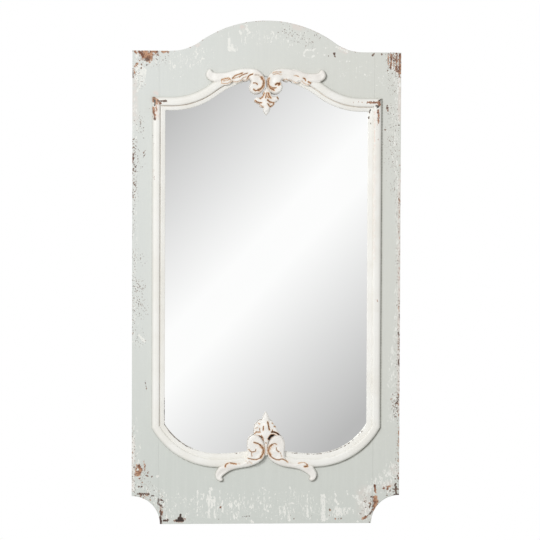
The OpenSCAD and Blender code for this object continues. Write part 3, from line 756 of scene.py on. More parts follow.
def stile_layers():
    """Outlines of the right stile: its front, beside the glass and beside the back panel."""
    notch = arc(FRAME_HALF, 0, NOTCH_R, 180 - seam_turn, 90)[:-1]
    outer = [(FRAME_HALF, NOTCH_R), (FRAME_HALF, SHOULDER_Z), (STILE_IN, SHOULDER_Z)]
    rebates = [[]]
    for x, low, top in ((POCKET_HALF, POCKET_LOW, POCKET_TOP), (RECESS_HALF, RECESS_LOW, RECESS_TOP)):
        rebates.append([(STILE_IN, top), (x, top), (x, low), (STILE_IN, low)])
    return [joined(notch, path(*outer, *rebate, (STILE_IN, SEAM_LOW_Z))) for rebate in rebates]


def crest_layers():
    """The crest rail's outlines, in the same three layers."""
    foot_z = LOW_Z + REVEAL - RAIL_FOOT
    corner_x = SIGHT_HALF + REVEAL
    half = np.vstack([sight_edge(REVEAL), [(corner_x, foot_z + RAIL_FOOT), (corner_x, foot_z)]])
    undersides = [(foot_z, np.vstack([mirrored(half)[:-1], half]))]
    undersides += [(z, path((-STILE_IN, z), (STILE_IN, z))) for z in (POCKET_TOP, RECESS_TOP)]
    return [
        joined(
            underside, path((STILE_IN, z), (STILE_IN, SHOULDER_Z)), crest_edge(),
            path((-STILE_IN, SHOULDER_Z), (-STILE_IN, z)),
        )
        for z, underside in undersides
    ]


def base_layers():
    """The base rail's outlines, in the same three layers."""
    grown = sill_edge(REVEAL)
    notch = arc(FRAME_HALF, 0, NOTCH_R, 180, 180 - seam_turn)
    foot = path((NOTCH_R - FRAME_HALF, 0), (FRAME_HALF - NOTCH_R, 0))
    head_z = grown[0, 1]
    heads = [(head_z, np.vstack([[(STILE_IN, head_z)], grown, mirrored(grown)[1:], [(-STILE_IN, head_z)]]))]
    heads += [(z, path((STILE_IN, z), (-STILE_IN, z))) for z in (POCKET_LOW, RECESS_LOW)]
    return [
        joined(
            foot, notch, path((STILE_IN, SEAM_LOW_Z), (STILE_IN, z)), head,
            path((-STILE_IN, z), (-STILE_IN, SEAM_LOW_Z)), mirrored(notch)[:-1],
        )
        for z, head in heads
    ]


def free_edge(points):
    """Which outline points lie on an edge that can be seen, and not at a seam or round the glass."""
    x, z = np.abs(points[:, 0]), points[:, 1]
    in_notch = (z < NOTCH_R + TOUCHING) & (x > FRAME_HALF - NOTCH_R - TOUCHING)
    return (x > FRAME_HALF - TOUCHING) | in_notch | (z > SHOULDER_Z - TOUCHING) | (z < TOUCHING)


def rounded_off(gap, radius):
    """How far a surface falls away near its rounded edge."""
    short = np.clip(radius - gap, 0, radius)
    return radius - np.sqrt(radius**2 - short**2)


def board_mesh(layers, fine):
    """A board with a finely divided front, rounded edges and the pocket and recess behind it."""
    made = Faces()
    depths = (FRONT_Y, GLASS_Y, PANEL_Y, BACK_Y)
    radii = [np.where(free_edge(loop), FREE_ROUND, SEAM_ROUND) for loop in layers]
    for k, spacing, y, side in ((0, FRONT_SPACING, FRONT_Y, 1), (2, BACK_SPACING, BACK_Y, -1)):
        points, faces, near, gap = filled(layers[k], spacing, BOARD_RINGS, fine if side > 0 else None)
        fall = side * rounded_off(gap, radii[k][near])
        made.sheet(at_depth(points, y + fall), faces, flip=side < 0)
    for k, loop in enumerate(layers):
        front = depths[k] + (radii[k] if k == 0 else 0)
        made.wall(loop, front, depths[k + 1] - (radii[k] if k == 2 else 0))
    for outer, inner, y in zip(layers, layers[1:], depths[1:]):
        points, faces = triangles(np.vstack([outer, inner]), len(outer), len(inner))
        middles = np.array([points[list(f)].mean(0) for f in faces])
        ledge = inside(middles, outer) & ~inside(middles, inner)
        made.sheet(at_depth(points, y), [f for f, kept in zip(faces, ledge) if kept], flip=True)
    return made.merged()


def wobbled(layers, seed):
    """Layers whose seen edges are drawn in by a fraction of a millimetre, as sawn and sanded by hand."""
    moved = []
    for loop in layers:
        depth = DRAWN_IN + LONG_WAVE * unevenness(loop, 0.05, seed)
        depth += SHORT_WAVE * unevenness(loop, 0.35, seed)
        drawn = inner_ring(loop, 1.0) - loop
        moved.append(loop + drawn * (held(depth) * free_edge(loop))[:, None])
    return moved


# Wear. A stroke is its radius, its strength and its two ends; a group of dots is their radius, their
# strength and their places. All are in pixels of the photograph.

BROWN_STROKES = [
    (4.4, 1.25, 145, 55, 149, 56.5), (2.2, 0.9, 136, 51, 156, 51.2), (1.3, 0.8, 162, 51.8, 163, 52.5),
    (1.2, 0.8, 165.5, 51.6, 168, 52), (1.3, 0.9, 135, 66, 137, 63.8), (1.3, 1, 399.8, 54, 399.8, 76),
    (1.1, 1, 387.9, 108.4, 387.9, 110.4), (0.9, 0.8, 388.5, 54, 388.5, 66), (1.2, 0.8, 391, 55, 391, 69),
    (1, 0.75, 393.6, 54, 393.8, 66), (1.4, 0.8, 396.6, 54, 396.8, 71), (2.4, 0.55, 391, 57, 397, 60),
    (1, 0.26, 399.6, 150, 399.4, 300), (1.2, 0.34, 399, 300, 398.6, 490),
    (0.9, 0.16, 132.6, 300, 132.5, 340), (0.9, 0.16, 132.4, 424, 132.4, 490), (1, 0.8, 133.6, 69, 135, 75),
    (2, 0.95, 138, 466, 140.6, 469), (2, 0.95, 140.4, 470, 138, 474.4), (1.6, 0.8, 136.4, 468, 136, 475),
    (0.8, 0.9, 144.2, 466.4, 146, 475.4), (1, 0.9, 144.6, 464.6, 144.7, 465.4),
    (2.3, 1.15, 375, 498, 375.6, 503.5), (1.8, 1, 376.2, 500, 376.4, 503),
    (1.7, 1, 374.6, 505, 373.4, 509.5), (1, 1, 374.7, 485, 375.4, 492.5), (1.5, 1, 362.8, 519, 366, 516.8),
    (0.9, 0.8, 369, 503.3, 370.5, 503), (0.8, 0.8, 386.8, 486.8, 391.3, 485.8),
    (1, 0.9, 383.2, 488.6, 384.2, 488.4), (1.1, 1, 387.6, 489, 388.2, 488),
    (0.9, 0.7, 399.2, 428, 399.2, 441), (2.2, 0.7, 176, 520.4, 183, 520), (1.4, 0.7, 161, 508, 161.2, 516),
    (1.6, 0.7, 140, 494.6, 148, 494.6), (1.4, 0.4, 132.8, 154, 133.4, 165),
    (0.8, 0.5, 133, 181, 135.5, 186.5),
]
BROWN_DOTS = [
    (1, 1, [
        (158, 54.8), (134.5, 72.1), (147.9, 472.5), (220.3, 507.4), (335.5, 518.8), (330, 509.9),
        (149.7, 62.2),
    ]),
    (0.85, 0.9, [
        (391, 399), (140.3, 496.7), (143.6, 498.6), (150.3, 500), (133.2, 197.3), (139.4, 478.7),
        (139.6, 60.6), (158.8, 491), (183.6, 517.5), (142.2, 482.5), (143.9, 461.6),
    ]),
]
DARK_STROKES = [
    (0.6, 1, 398.6, 360, 398.6, 365), (0.7, 1.1, 398.3, 332.4, 398.4, 333.2),
    (0.6, 0.7, 397.3, 341.6, 397.4, 342.4), (0.6, 0.7, 398.6, 348.5, 398.7, 350),
    (0.6, 0.7, 398.7, 371.5, 398.7, 373), (0.5, 0.8, 396.4, 402, 397.2, 403.6),
    (0.5, 0.8, 397.4, 395.5, 396.4, 397.5), (0.5, 0.7, 397, 408, 397.6, 409.4),
    (1.6, 0.8, 145.6, 59.4, 149, 59), (1, 0.9, 132.6, 69, 132.9, 77), (1.1, 1, 387.3, 105.8, 387.3, 108.4),
    (1.1, 1, 334.2, 53.6, 334.2, 54.2), (1.1, 0.9, 137.6, 493.8, 142.2, 493.8),
    (1.1, 0.95, 144, 493.8, 148.8, 493.9), (0.9, 0.8, 151.7, 495.6, 153.6, 496),
    (0.9, 0.9, 145.6, 475.4, 148.4, 476.3), (1, 0.95, 158.4, 499, 158.4, 502.2),
    (1.1, 0.8, 161, 499.4, 163.4, 501.6), (1.2, 0.9, 158.8, 504.4, 161, 505.8),
    (0.9, 0.8, 160.7, 509, 160.7, 516.5), (1.3, 1, 160.5, 517.5, 160.6, 523.4),
    (1.1, 1, 163.6, 520.4, 165.4, 520.6), (0.9, 1, 167.8, 519.6, 167.8, 521.6),
    (1.5, 1.25, 176.6, 520.6, 183, 520.4), (1.7, 1.25, 179, 518.6, 181.6, 518.4),
    (1.1, 1.25, 180.6, 514.6, 180.2, 517), (1.3, 1, 395.6, 484, 396.2, 495),
    (1, 0.95, 394, 489.2, 398.6, 489.2), (1.5, 1, 394.4, 495.2, 397.8, 495),
    (1, 1, 370.4, 504.4, 369.6, 507), (1.1, 1, 371.9, 511.4, 371.2, 512.4),
    (1.1, 1, 370.4, 513, 369.4, 514.4), (0.9, 0.9, 377.6, 504.2, 378.4, 504.6),
    (0.7, 0.6, 145, 380, 147, 391), (0.7, 0.4, 140.5, 117.5, 140.6, 127.2),
    (1, 0.8, 133.4, 154.2, 135.4, 154.4), (0.9, 0.7, 144.9, 150.5, 143.6, 153),
    (0.9, 0.7, 144.5, 154.4, 143.6, 157.6), (0.9, 0.7, 133.4, 183, 135.5, 186),
    (0.8, 0.6, 243, 516.7, 249, 516.2), (1.8, 0.5, 316, 35.6, 319, 38), (0.8, 0.5, 395, 404, 398, 401),
    (0.8, 0.6, 396, 409, 398.4, 407), (1, 0.9, 132.6, 74.4, 132.8, 76.8),
]
DARK_DOTS = [
    (0.95, 0.9, [
        (146.8, 64.9), (141.4, 64.5), (141, 68.2), (132.6, 68.5), (132.6, 50.8), (387.6, 70.5),
        (334.8, 56.4), (138.9, 486.7), (141.7, 486.7), (154, 490.4), (152.1, 476.6), (329.6, 509.6),
        (364.4, 501.4), (371.3, 501), (371.3, 496.8), (369.3, 522.3), (389.9, 490.8), (393.1, 491.7),
        (386.9, 495.4), (381.4, 502.3), (367.7, 515.6), (341, 518.6), (395.4, 479.1), (397.5, 475.9),
        (399, 125), (385, 129.6), (373.9, 53.9), (372.7, 55.2), (381.9, 54.2),
    ]),
    (0.7, 0.62, [
        (284.3, 29.6), (286, 32.7), (282.5, 31.3), (290.3, 32.7), (292, 35.9), (278, 32.7), (302.2, 30.6),
        (308.2, 31), (302.2, 38.8), (306.4, 41.9), (312, 41.9), (308.5, 44.1), (305.7, 46.1),
        (314.5, 47.3), (311.7, 46.8), (304.6, 32.7), (292.4, 30.6), (283.2, 24.5), (328.5, 56.3),
        (140.5, 115.5), (134.6, 120.3), (141.3, 120.9), (140.9, 132.1), (143.4, 137.8), (135.7, 141.6),
        (133.5, 147.6), (134, 150.8), (133.2, 156), (135.7, 158.2), (138, 156), (137.9, 158.8),
        (133.7, 160), (138.6, 161), (133.7, 164.2), (134.9, 165.1), (134, 168.6), (133.6, 173.4),
        (144.6, 164.2), (142.4, 166.8), (133.5, 178.3), (133.7, 188), (134, 193.2), (365.4, 507.3),
        (362, 510.3), (364.4, 511.5), (345.4, 513.1), (338.3, 518.6), (329.2, 515.3), (311.7, 515.6),
        (290.6, 515.6), (293.8, 519), (321.1, 519), (218.6, 519), (360.8, 514.2), (389.6, 140.2),
        (149.4, 108.6),
    ]),
]
WHITE_STROKES = [
    (4.5, 0.5, 393.5, 350, 393, 374), (5, 0.5, 392, 380, 392.5, 418), (1.8, 0.9, 143.5, 73, 141.5, 82),
    (1.4, 0.95, 141.5, 82, 139.6, 87), (1, 1, 139.6, 87, 137.4, 91.2), (1.8, 0.8, 136.5, 78.5, 139, 79.5),
    (5, 0.82, 138.6, 68, 140, 82), (2.4, 1, 144.4, 70, 142.6, 80), (3, 0.5, 152, 64, 158, 60),
    (8, 0.58, 364, 514, 370, 490), (7.5, 0.6, 378, 484, 396, 468), (7, 0.52, 152, 492, 166, 516),
    (5, 0.5, 136, 446, 136, 488), (9, 0.42, 138, 60, 160, 60), (1.8, 0.95, 229, 39, 229.6, 50),
    (1.8, 1, 232, 45, 232, 51), (2.2, 1, 231, 49, 234.4, 50), (1.2, 0.8, 236, 46, 237, 50),
    (1.4, 0.85, 239.5, 31, 241, 33.4), (1.6, 0.8, 245, 25, 247, 27), (1.6, 0.9, 247, 29, 249.4, 32.5),
    (6, 0.36, 244, 32, 246, 40), (5, 0.34, 253, 32, 256, 40), (4, 0.34, 261, 28, 263, 40),
    (1.1, 0.95, 272.5, 31.5, 274, 35), (1, 0.85, 273, 36, 271, 42), (0.9, 0.8, 270.5, 34.4, 272, 33),
    (2, 0.5, 289, 31, 291, 36), (2, 0.45, 297, 33, 298, 40), (2, 0.5, 288, 41, 292, 45),
    (2.4, 0.4, 294, 48, 299, 53), (1.1, 1, 306, 49.8, 313, 50.5), (1.1, 1, 313, 50.5, 315, 48.6),
    (1, 0.95, 304, 53, 306, 50), (1.1, 1, 304, 55.4, 306, 57), (0.8, 0.8, 307, 57.2, 311, 57.2),
    (1.1, 1, 312, 57, 314, 55.5), (5, 0.95, 392.4, 57.6, 397, 58), (5, 0.95, 393.4, 64, 397.5, 70.5),
    (1.1, 0.8, 399.6, 77, 399.6, 86), (1.4, 0.8, 336, 46.8, 347, 51.6), (1.8, 0.75, 133, 440, 133, 491),
    (1.2, 1, 138, 470, 138.4, 472), (4.5, 0.55, 156, 490, 166, 498), (1, 0.9, 197.6, 491, 197.6, 515.3),
    (1.4, 0.9, 197.6, 493, 197.6, 497), (0.8, 0.9, 200.5, 494, 203.6, 494),
    (0.8, 0.9, 203.8, 494, 203.6, 499), (0.8, 0.8, 200.5, 499.2, 203.4, 499),
    (1.8, 0.95, 210.9, 488.6, 210.2, 496), (3.2, 1, 209.6, 497, 210.6, 506),
    (1.4, 0.9, 214, 497, 214.4, 505), (1.6, 0.85, 208.6, 508, 208.6, 518),
    (1.4, 0.85, 213.6, 510, 215.6, 518), (1.4, 0.95, 219.9, 491, 220.2, 499.5),
    (1.4, 0.9, 222.4, 501, 222.6, 511), (1.2, 0.85, 217.8, 503, 218, 511), (2.4, 1, 230.2, 504, 231, 505),
    (1.2, 0.8, 229.8, 498, 230, 501), (1.8, 0.85, 235, 501, 236, 506), (1.5, 0.85, 238.3, 504, 238.6, 509),
    (0.8, 0.8, 239.3, 494.6, 239.3, 498), (1.8, 0.7, 232.4, 515.6, 238, 520),
    (1.2, 0.6, 253, 505, 253, 509), (1.5, 0.85, 264, 509, 268, 511), (2, 0.8, 280, 507, 281, 518),
    (1.6, 0.8, 284, 505, 285, 515), (1.8, 0.8, 288, 508, 289, 520), (1, 0.85, 307, 495, 308, 517),
    (0.9, 0.8, 310.5, 498, 311, 518), (2.6, 1, 323, 496, 323.5, 519), (1.1, 0.8, 250, 522, 253, 522),
    (1.1, 0.85, 334.5, 492, 336, 496), (1.5, 0.85, 335, 500, 338, 504), (1, 0.75, 347, 491, 348, 494.5),
    (1.2, 0.8, 353, 495, 355, 498), (1.6, 0.9, 357.5, 496, 359, 504), (2, 0.8, 358.4, 501, 360, 503),
    (2, 1, 336, 507, 338, 511), (2.6, 1, 340, 510, 341, 514), (2, 0.95, 345, 509, 344, 514),
    (1.6, 0.9, 349, 508, 347, 513), (1.9, 0.85, 337, 514, 341, 515.5), (1.2, 0.65, 353, 510, 354, 513),
    (4.5, 0.55, 394, 465, 396, 474), (5, 0.5, 384, 484, 393, 480), (1.4, 0.9, 139, 335, 144, 341),
    (3, 0.5, 397.6, 76, 397.4, 413), (6, 0.5, 394, 350, 394, 418), (3, 0.55, 396, 300, 396, 350),
    (5, 0.4, 393, 108, 393, 145), (3, 0.45, 135, 100, 135, 344), (3, 0.35, 135, 420, 135, 440),
    (1.8, 0.7, 393, 404, 396, 412), (5, 0.45, 366, 498, 370, 515), (3.5, 0.6, 388, 491, 392, 494),
    (0.8, 0.7, 228.6, 32, 229, 39), (4, 0.5, 134, 470, 142, 488), (4, 0.45, 392, 120, 396, 170),
    (13, 0.4, 176, 506, 330, 508), (8, 0.34, 262, 496, 300, 496), (11, 0.42, 172, 64, 200, 56),
    (12, 0.24, 345, 70, 378, 76), (10, 0.34, 258, 34, 300, 38), (6, 0.3, 380, 78, 388, 84),
]
WHITE_DOTS = [
    (0.9, 1, [
        (170.5, 56), (178, 56), (180.7, 54.4), (174.6, 57), (193.4, 54), (191.2, 60.2), (202.4, 48.4),
        (203.6, 58.7), (213, 52.4), (221.5, 36), (175, 65.3), (164.2, 70.8), (180.4, 76.7), (326, 48),
        (317.7, 53), (324.5, 55), (376.7, 85.4), (383.3, 76.2), (364.7, 74.5), (349.7, 61.3),
        (346.8, 61.3), (340, 61.3), (391.7, 86.6), (380, 81.6), (381.6, 82.8), (231.7, 511.8),
        (244, 501.9), (271.3, 519), (293.8, 503.7), (359.4, 490.4), (374, 509.5), (371.8, 479),
        (381.5, 478), (255.8, 488.6), (262.5, 488.1), (141, 55.5), (150.4, 53.2), (138.2, 470.4),
        (370, 510.4), (369.6, 505.8),
    ]),
    (1.5, 1, [(157.5, 476.3), (357.8, 521.3), (251.1, 521.4), (260.6, 503.3)]),
]
# Broad places: small dark specks, and a pinkish tinge
SPECK_STROKES = [
    (7, 1, 392, 57, 397, 71), (3.6, 0.5, 136, 150, 137, 172), (5, 0.36, 286, 31, 308, 45),
    (5, 0.42, 137, 254, 142, 260), (6, 0.6, 137, 284, 141, 312), (3.4, 0.8, 133.5, 140, 133.5, 200),
    (2.6, 0.5, 133.4, 200, 133.3, 334), (2.6, 0.5, 133.3, 426, 133.2, 500),
    (2.6, 0.5, 398.4, 180, 398, 500), (4, 1, 396, 396, 396.4, 416), (4, 0.5, 136, 76, 140, 84),
    (2.2, 0.8, 399, 300, 398.8, 362), (6, 0.35, 392, 110, 394, 190), (3, 0.5, 140.5, 112, 140.6, 132),
    (6, 0.3, 140, 335, 141, 345), (6, 0.35, 146, 60, 162, 58), (5, 0.4, 368, 500, 368, 514),
    (4, 0.4, 386, 490, 394, 492), (6, 0.4, 140, 470, 146, 484), (8, 0.28, 374, 130, 380, 156),
    (5, 0.4, 134, 64, 137, 76), (4, 0.5, 160, 497, 164, 520), (5, 0.35, 148, 495, 158, 500),
    (5, 0.35, 392, 74, 394, 90),
]
PINK_STROKES = [
    (7, 0.5, 364, 494, 366, 512), (1.8, 1, 242, 27, 243.4, 28), (1.8, 1, 196.8, 45.4, 198, 45),
    (3, 0.7, 294, 26, 302, 28), (4, 0.5, 394, 468, 396, 472), (3, 0.6, 384, 486, 391, 484),
    (2.4, 0.8, 341, 48.6, 346, 51.4), (1.8, 1, 155.3, 92.2, 156.6, 94), (1.4, 0.8, 399.6, 77, 399.4, 120),
    (1.4, 0.6, 399, 180, 398.6, 410), (1.6, 0.7, 133, 440, 133, 490), (3, 0.5, 134, 80, 135, 120),
]
MOULDING_BROWN = [
    (2.6, 1.05, 153.8, 99.6, 156.6, 101.8), (1.6, 0.8, 157.6, 101.4, 160, 103.4),
    (1.5, 0.85, 153.6, 108, 154.6, 119), (1.2, 0.7, 156, 107, 156.6, 112),
    (1, 1, 367.6, 102.4, 378.4, 102.6), (1.7, 0.9, 378.4, 102, 379, 105), (0.9, 0.9, 378, 110, 378, 116.4),
    (1.2, 0.7, 377.6, 118, 377.6, 124), (0.9, 0.6, 353, 102.6, 363.5, 103.4),
    (1.2, 0.42, 377, 300, 377.4, 300.5), (0.8, 0.4, 153.4, 170, 153.8, 178),
    (0.8, 0.6, 376.8, 128.4, 377.4, 128.8), (0.8, 0.6, 376.6, 139.2, 377.6, 139.6),
]
MOULDING_DARK = [
    (0.7, 1.1, 378.6, 101, 380.5, 99.8), (1.3, 1.2, 376.2, 106.2, 377.6, 106.9),
    (0.9, 0.8, 154, 100, 155, 103), (0.9, 1.2, 163.2, 101.2, 166.2, 100.9),
    (0.6, 1.1, 157.5, 100.6, 163, 101.4), (0.5, 1.2, 164, 101.6, 170, 102.5),
    (0.8, 0.9, 154.4, 104, 154.5, 106), (0.8, 0.7, 154.5, 118, 154.7, 120),
    (0.8, 0.9, 370.4, 109.8, 369.2, 113), (0.7, 0.8, 369, 116.8, 368.8, 118),
    (0.7, 0.6, 370.4, 123, 370.5, 124), (0.7, 0.45, 153, 134, 154, 150),
]
MOULDING_PINK = [
    (0.6, 0.8, 374.4, 112, 374.2, 146), (1.2, 0.3, 374.2, 146, 373.6, 260), (2, 0.5, 157, 103, 158, 118),
]
# Painted shade and painted reflection: the broken dark line along the lip's edge beside the glass, where the
# rebate is shaded and the lip's dark underside shows in the mirror
RIM_SHADE_STROKES = [
    (0.8, 0.6, 164.7, 398, 164.7, 424), (0.9, 0.8, 165, 424.5, 170, 432), (1, 1, 170, 432, 177, 439.5),
    (0.9, 0.85, 177, 439.5, 183, 444), (0.9, 0.7, 183, 444, 191, 448), (0.8, 0.6, 191, 448, 205, 452),
    (0.8, 0.4, 205, 452, 240, 453), (1.1, 0.6, 284, 453.2, 314, 453.2),
    (1.4, 1.1, 315.8, 452.8, 320.9, 452.6), (1.4, 1.2, 324, 451.6, 330.8, 450.4),
    (1.5, 1.2, 332.8, 449.6, 341, 446.4), (1.4, 1, 344.6, 445.2, 345, 445),
    (0.9, 0.9, 346.6, 443.6, 349.7, 442.2), (0.9, 0.8, 352.5, 440.2, 353, 439.8),
    (0.9, 0.8, 358.2, 434.9, 358.8, 434.2), (0.8, 0.7, 361, 431.8, 361.6, 431.2),
]

# The marks that each field of the boards' wear is made of
BOARD_MARKS = {
    "brown": (BROWN_STROKES, BROWN_DOTS),
    "dark": (DARK_STROKES, DARK_DOTS),
    "primer": (WHITE_STROKES, WHITE_DOTS),
    "speck": (SPECK_STROKES,),
    "pink": (PINK_STROKES,),
}
# A mark is weaker from half its radius on, and ends at one and a half of it
MARK_END = 1.5
# White strokes of this radius or more need no fine grid
BROAD_STROKE = 4
# Marks weaker than this need no fine grid
FAINTEST = 0.02


def segment_gap(points, a, b):
    """Distance from each point to the straight line between a and b."""
    along = b - a
    share = held((points - a) @ along / max(along @ along, 1e-6))
    return np.linalg.norm(points - a - share[:, None] * along, axis=1)


def mark_strength(points, strokes, dots=()):
    """How strongly any mark reaches each point [x, z]."""
    strength = np.zeros(len(points))
    marks = list(strokes) + [(radius, most, x, y, x, y) for radius, most, places in dots for x, y in places]
    for radius, most, x0, y0, x1, y1 in marks:
        a, b = np.array(from_photo(x0, y0)), np.array(from_photo(x1, y1))
        reach = radius * MM_PER_PX
        near = np.all(points > np.minimum(a, b) - MARK_END * reach, axis=1)
        near &= np.all(points < np.maximum(a, b) + MARK_END * reach, axis=1)
        share = segment_gap(points[near], a, b) / reach
        strength[near] = np.maximum(strength[near], most * held(MARK_END - share))
    return strength


def fitted_lines():
    """Where the mouldings' outer edges and the carvings' outlines meet the boards."""
    runs = [path(*run(MOULD_W), step=CARVED_STEP) for run in (top_run, side_run, bottom_run)]
    runs += [points * (-1, 1) for points in runs]
    runs += [smooth_loop(pixel_outline(carving[1], carving[-1])) for carving in CARVINGS]
    return Spots(np.vstack(runs))


# Grime and painted shadow beside what is fitted on: its least and most width, and where it ends as a share of
# its width
GRIME_SHADOW_LEAST, GRIME_SHADOW_MOST, GRIME_SHADOW_END = 1.2, 4.2, 1.35
SHADED_SIDE = np.array((0.8, -0.6))
# How far the face sinks where all the paint is lost
PAINT_DEPTH = 0.25
# What is this close to the front or to the back belongs to it
SURFACE = 0.6
# How far from a seen edge the edge's own wear can reach
EDGE_BAND = 12


def fitted_grime_and_shadow(points, fitted):
    """Grime beside what is fitted on, with painted shadow that makes it wider and darker on the sides that
    face right and down, away from the light.
    """
    offset = points - fitted.points[fitted.nearest(points)[0]]
    gap = np.maximum(np.linalg.norm(offset, axis=1), 1e-6)
    side = held(offset @ SHADED_SIDE / gap)
    width = GRIME_SHADOW_LEAST + (GRIME_SHADOW_MOST - GRIME_SHADOW_LEAST) * side
    return (0.25 + 0.75 * side) * held(GRIME_SHADOW_END - gap / width)


def board_fields(points, loop, fitted):
    """Wear, distance to the nearest seen edge, grime and painted shadow beside what is fitted on, and the
    bare back.
    """
    plane = points[:, [0, 2]]
    fields = {name: mark_strength(plane, *marks) for name, marks in BOARD_MARKS.items()}
    _, edge = Spots(loop[free_edge(loop)]).nearest(plane)
    fields["edge"] = held(edge / EDGE_BAND)
    fields["fitted_grime_and_shadow"] = fitted_grime_and_shadow(plane, fitted) * (points[:, 1] < FRONT_Y + SURFACE)
    fields["rear"] = (points[:, 1] > BACK_Y - SURFACE).astype(float)
    return fields


def make_boards(material):
    fitted = fitted_lines()
    small_white = [stroke for stroke in WHITE_STROKES if stroke[0] < BROAD_STROKE]

    def fine(points):
        worn = sum(mark_strength(points, *BOARD_MARKS[name]) for name in ("brown", "dark"))
        marked = worn + mark_strength(points, small_white, WHITE_DOTS) > FAINTEST
        near = np.zeros(len(points), bool)
        near[~marked] = fitted.nearest(points[~marked])[1] < GRIME_SHADOW_MOST * GRIME_SHADOW_END
        return marked | near

    stile = stile_layers()
    left_stile = [mirrored(loop) for loop in stile]
    for name, layers, seed in (
        ("left_stile", left_stile, 3.1), ("right_stile", stile, 7.7),
        ("crest_rail", crest_layers(), 11.3), ("base_rail", base_layers(), 15.9),
    ):
        layers = wobbled(layers, seed)
        points, faces = board_mesh(layers, fine)
        fields = board_fields(points, layers[0], fitted)
        lost_paint = np.maximum(fields["brown"], fields["dark"]) + 0.4 * fields["primer"]
        points[:, 1] += PAINT_DEPTH * lost_paint * (points[:, 1] < FRONT_Y + SURFACE)
        piece = new_piece(name + "_board", points, faces, material, fields)
        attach(piece, "frame")
        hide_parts(name)


# Mouldings

# The moulding's section from the sight line outward: distance out, and height above the boards
LIP = [
    (0, -6.7), (0, 1.4), (0.25, 2.1), (0.8, 2.45), (1.8, 2.7), (3.5, 3.05), (5.5, 3.5), (7.4, 3.9),
    (8.7, 4.05),
]
LIP_GROOVE_AT = 10.7
BEAD_AT, BEAD_HALF, BEAD_UP, BEAD_RISE = 20.3, 9.2, 1.8, 8.15
BEAD_TURNS = (174, 168, 160, 150, 138, 126, 114, 102, 90, 78, 66, 54, 42, 30, 18, 8, 0)
# How square the bead is towards the glass and away from it
BEAD_INSIDE, BEAD_OUTSIDE = 0.5, 0.85
UNDER = [(29.5, 0), (4.7, 0), (4.7, -6.7)]
# How much dark wax and painted shade is in each groove, more where the groove faces away from the light, how
# high its paint stands above the boards, and how far out it is
GROOVE_WAX_AND_SHADE = {
    "moulding_top_left": (0.48, 2.7, 9.2), "moulding_top_right": (0.4, 2.8, 9.2),
    "moulding_left": (0.22, 2.7, 11.5), "moulding_right": (0.0, 3.7, 10.7),
    "moulding_bottom_left": (0.0, 4.0, 10.7), "moulding_bottom_right": (0.0, 4.0, 10.7),
}
# The half width of the groove's line of wax and painted shade, and where the bead's outer flank with its
# painted shade begins and how wide it is
WAX_WIDTH, FLANK_AT, FLANK_WIDTH = 1.1, 23.5, 5.5
# The sanding leaves what is higher than this a little uneven and a little lower
SANDED_UP, SANDED_ROUGH, SANDED_OFF = 1.9, 0.12, 0.1
# The groove's wax and painted shade, and the flank's painted shade, are left out below this height
PAINTED_UP = 0.5


def section(groove, at):
    """The section with its groove at a given height above the boards and distance out."""
    lip_top = LIP[-1][1]
    lip = [(out * at / LIP_GROOVE_AT, up) for out, up in LIP]
    step_down = [(at - 1.2, groove + 0.8 * (lip_top - groove)), (at - 0.6, groove + 0.3 * (lip_top - groove))]
    bottom = [(at, groove), (at + 0.4, groove)]
    bead = []
    for turn in np.radians(BEAD_TURNS):
        square = BEAD_INSIDE if turn > math.pi / 2 else BEAD_OUTSIDE
        side, up = math.cos(turn), math.sin(turn)
        half = BEAD_HALF + LIP_GROOVE_AT - at if side < 0 else BEAD_HALF
        out = BEAD_AT + half * math.copysign(abs(side) ** square, side)
        bead.append((out, BEAD_UP + BEAD_RISE * abs(up) ** square))
    kept = [p for p in bead if p[0] > BEAD_AT or p[1] > groove + 0.3 and p[0] > at + 0.5]
    return np.array(lip + step_down + bottom + kept + UNDER)


def spaced(start, end, length, step=3.0):
    """Even numbers from start to end, a step apart over a length in millimetres."""
    return np.linspace(start, end, max(3, int(length / step) + 1))


def top_run(out):
    """Points along the top moulding, from its end under the carving to the mitre."""
    start = math.degrees(math.acos(TOP_END_X / (ARCH_R + MOULD_W / 2)))
    first = np.radians(spaced(start, JOIN_TURN, 70))[:-1]
    second = np.radians(spaced(180 + JOIN_TURN, 270, 110))[:-1]
    flat = spaced(0, 1, SIGHT_HALF + MOULD_W - HOLLOW_X, 1.6)
    return np.vstack([
        circle(0, ARCH_CZ, ARCH_R + out, first),
        circle(HOLLOW_X, HOLLOW_CZ, HOLLOW_R - out, second),
        np.column_stack([HOLLOW_X + (SIGHT_HALF + out - HOLLOW_X) * flat, np.full(len(flat), LOW_Z + out)]),
    ])


def low_mitre(out):
    """Where the lower mitre line is, at a distance out from the sight line."""
    def height(grow):
        return CORNER_CZ - math.sqrt((CORNER_R + grow) ** 2 - (SIGHT_HALF + grow - CORNER_X) ** 2)
    share = out / MOULD_W
    return SIGHT_HALF + out, height(0) + (height(MOULD_W) - height(0)) * share


def bottom_run(out):
    """Points along the bottom moulding, from its end under the carving to the mitre."""
    sill = math.degrees(math.asin((CORNER_X - BOTTOM_END_X) / (SILL_R + MOULD_W / 2)))
    x, z = low_mitre(out)
    end = math.degrees(math.atan2(z - CORNER_CZ, x - CORNER_X))
    return np.vstack([
        circle(CORNER_X, SILL_CZ, SILL_R + out, np.radians(spaced(-90 - sill, -90, 90))[:-1]),
        circle(CORNER_X, CORNER_CZ, CORNER_R + out, np.radians(spaced(-90, end, 150))),
    ])


def side_run(out):
    """Points up the side moulding, from the lower mitre to the upper one."""
    x, z = low_mitre(out)
    heights = spaced(z, LOW_Z + out, LOW_Z - CORNER_CZ, 2)
    return np.column_stack([np.full(len(heights), x), heights])


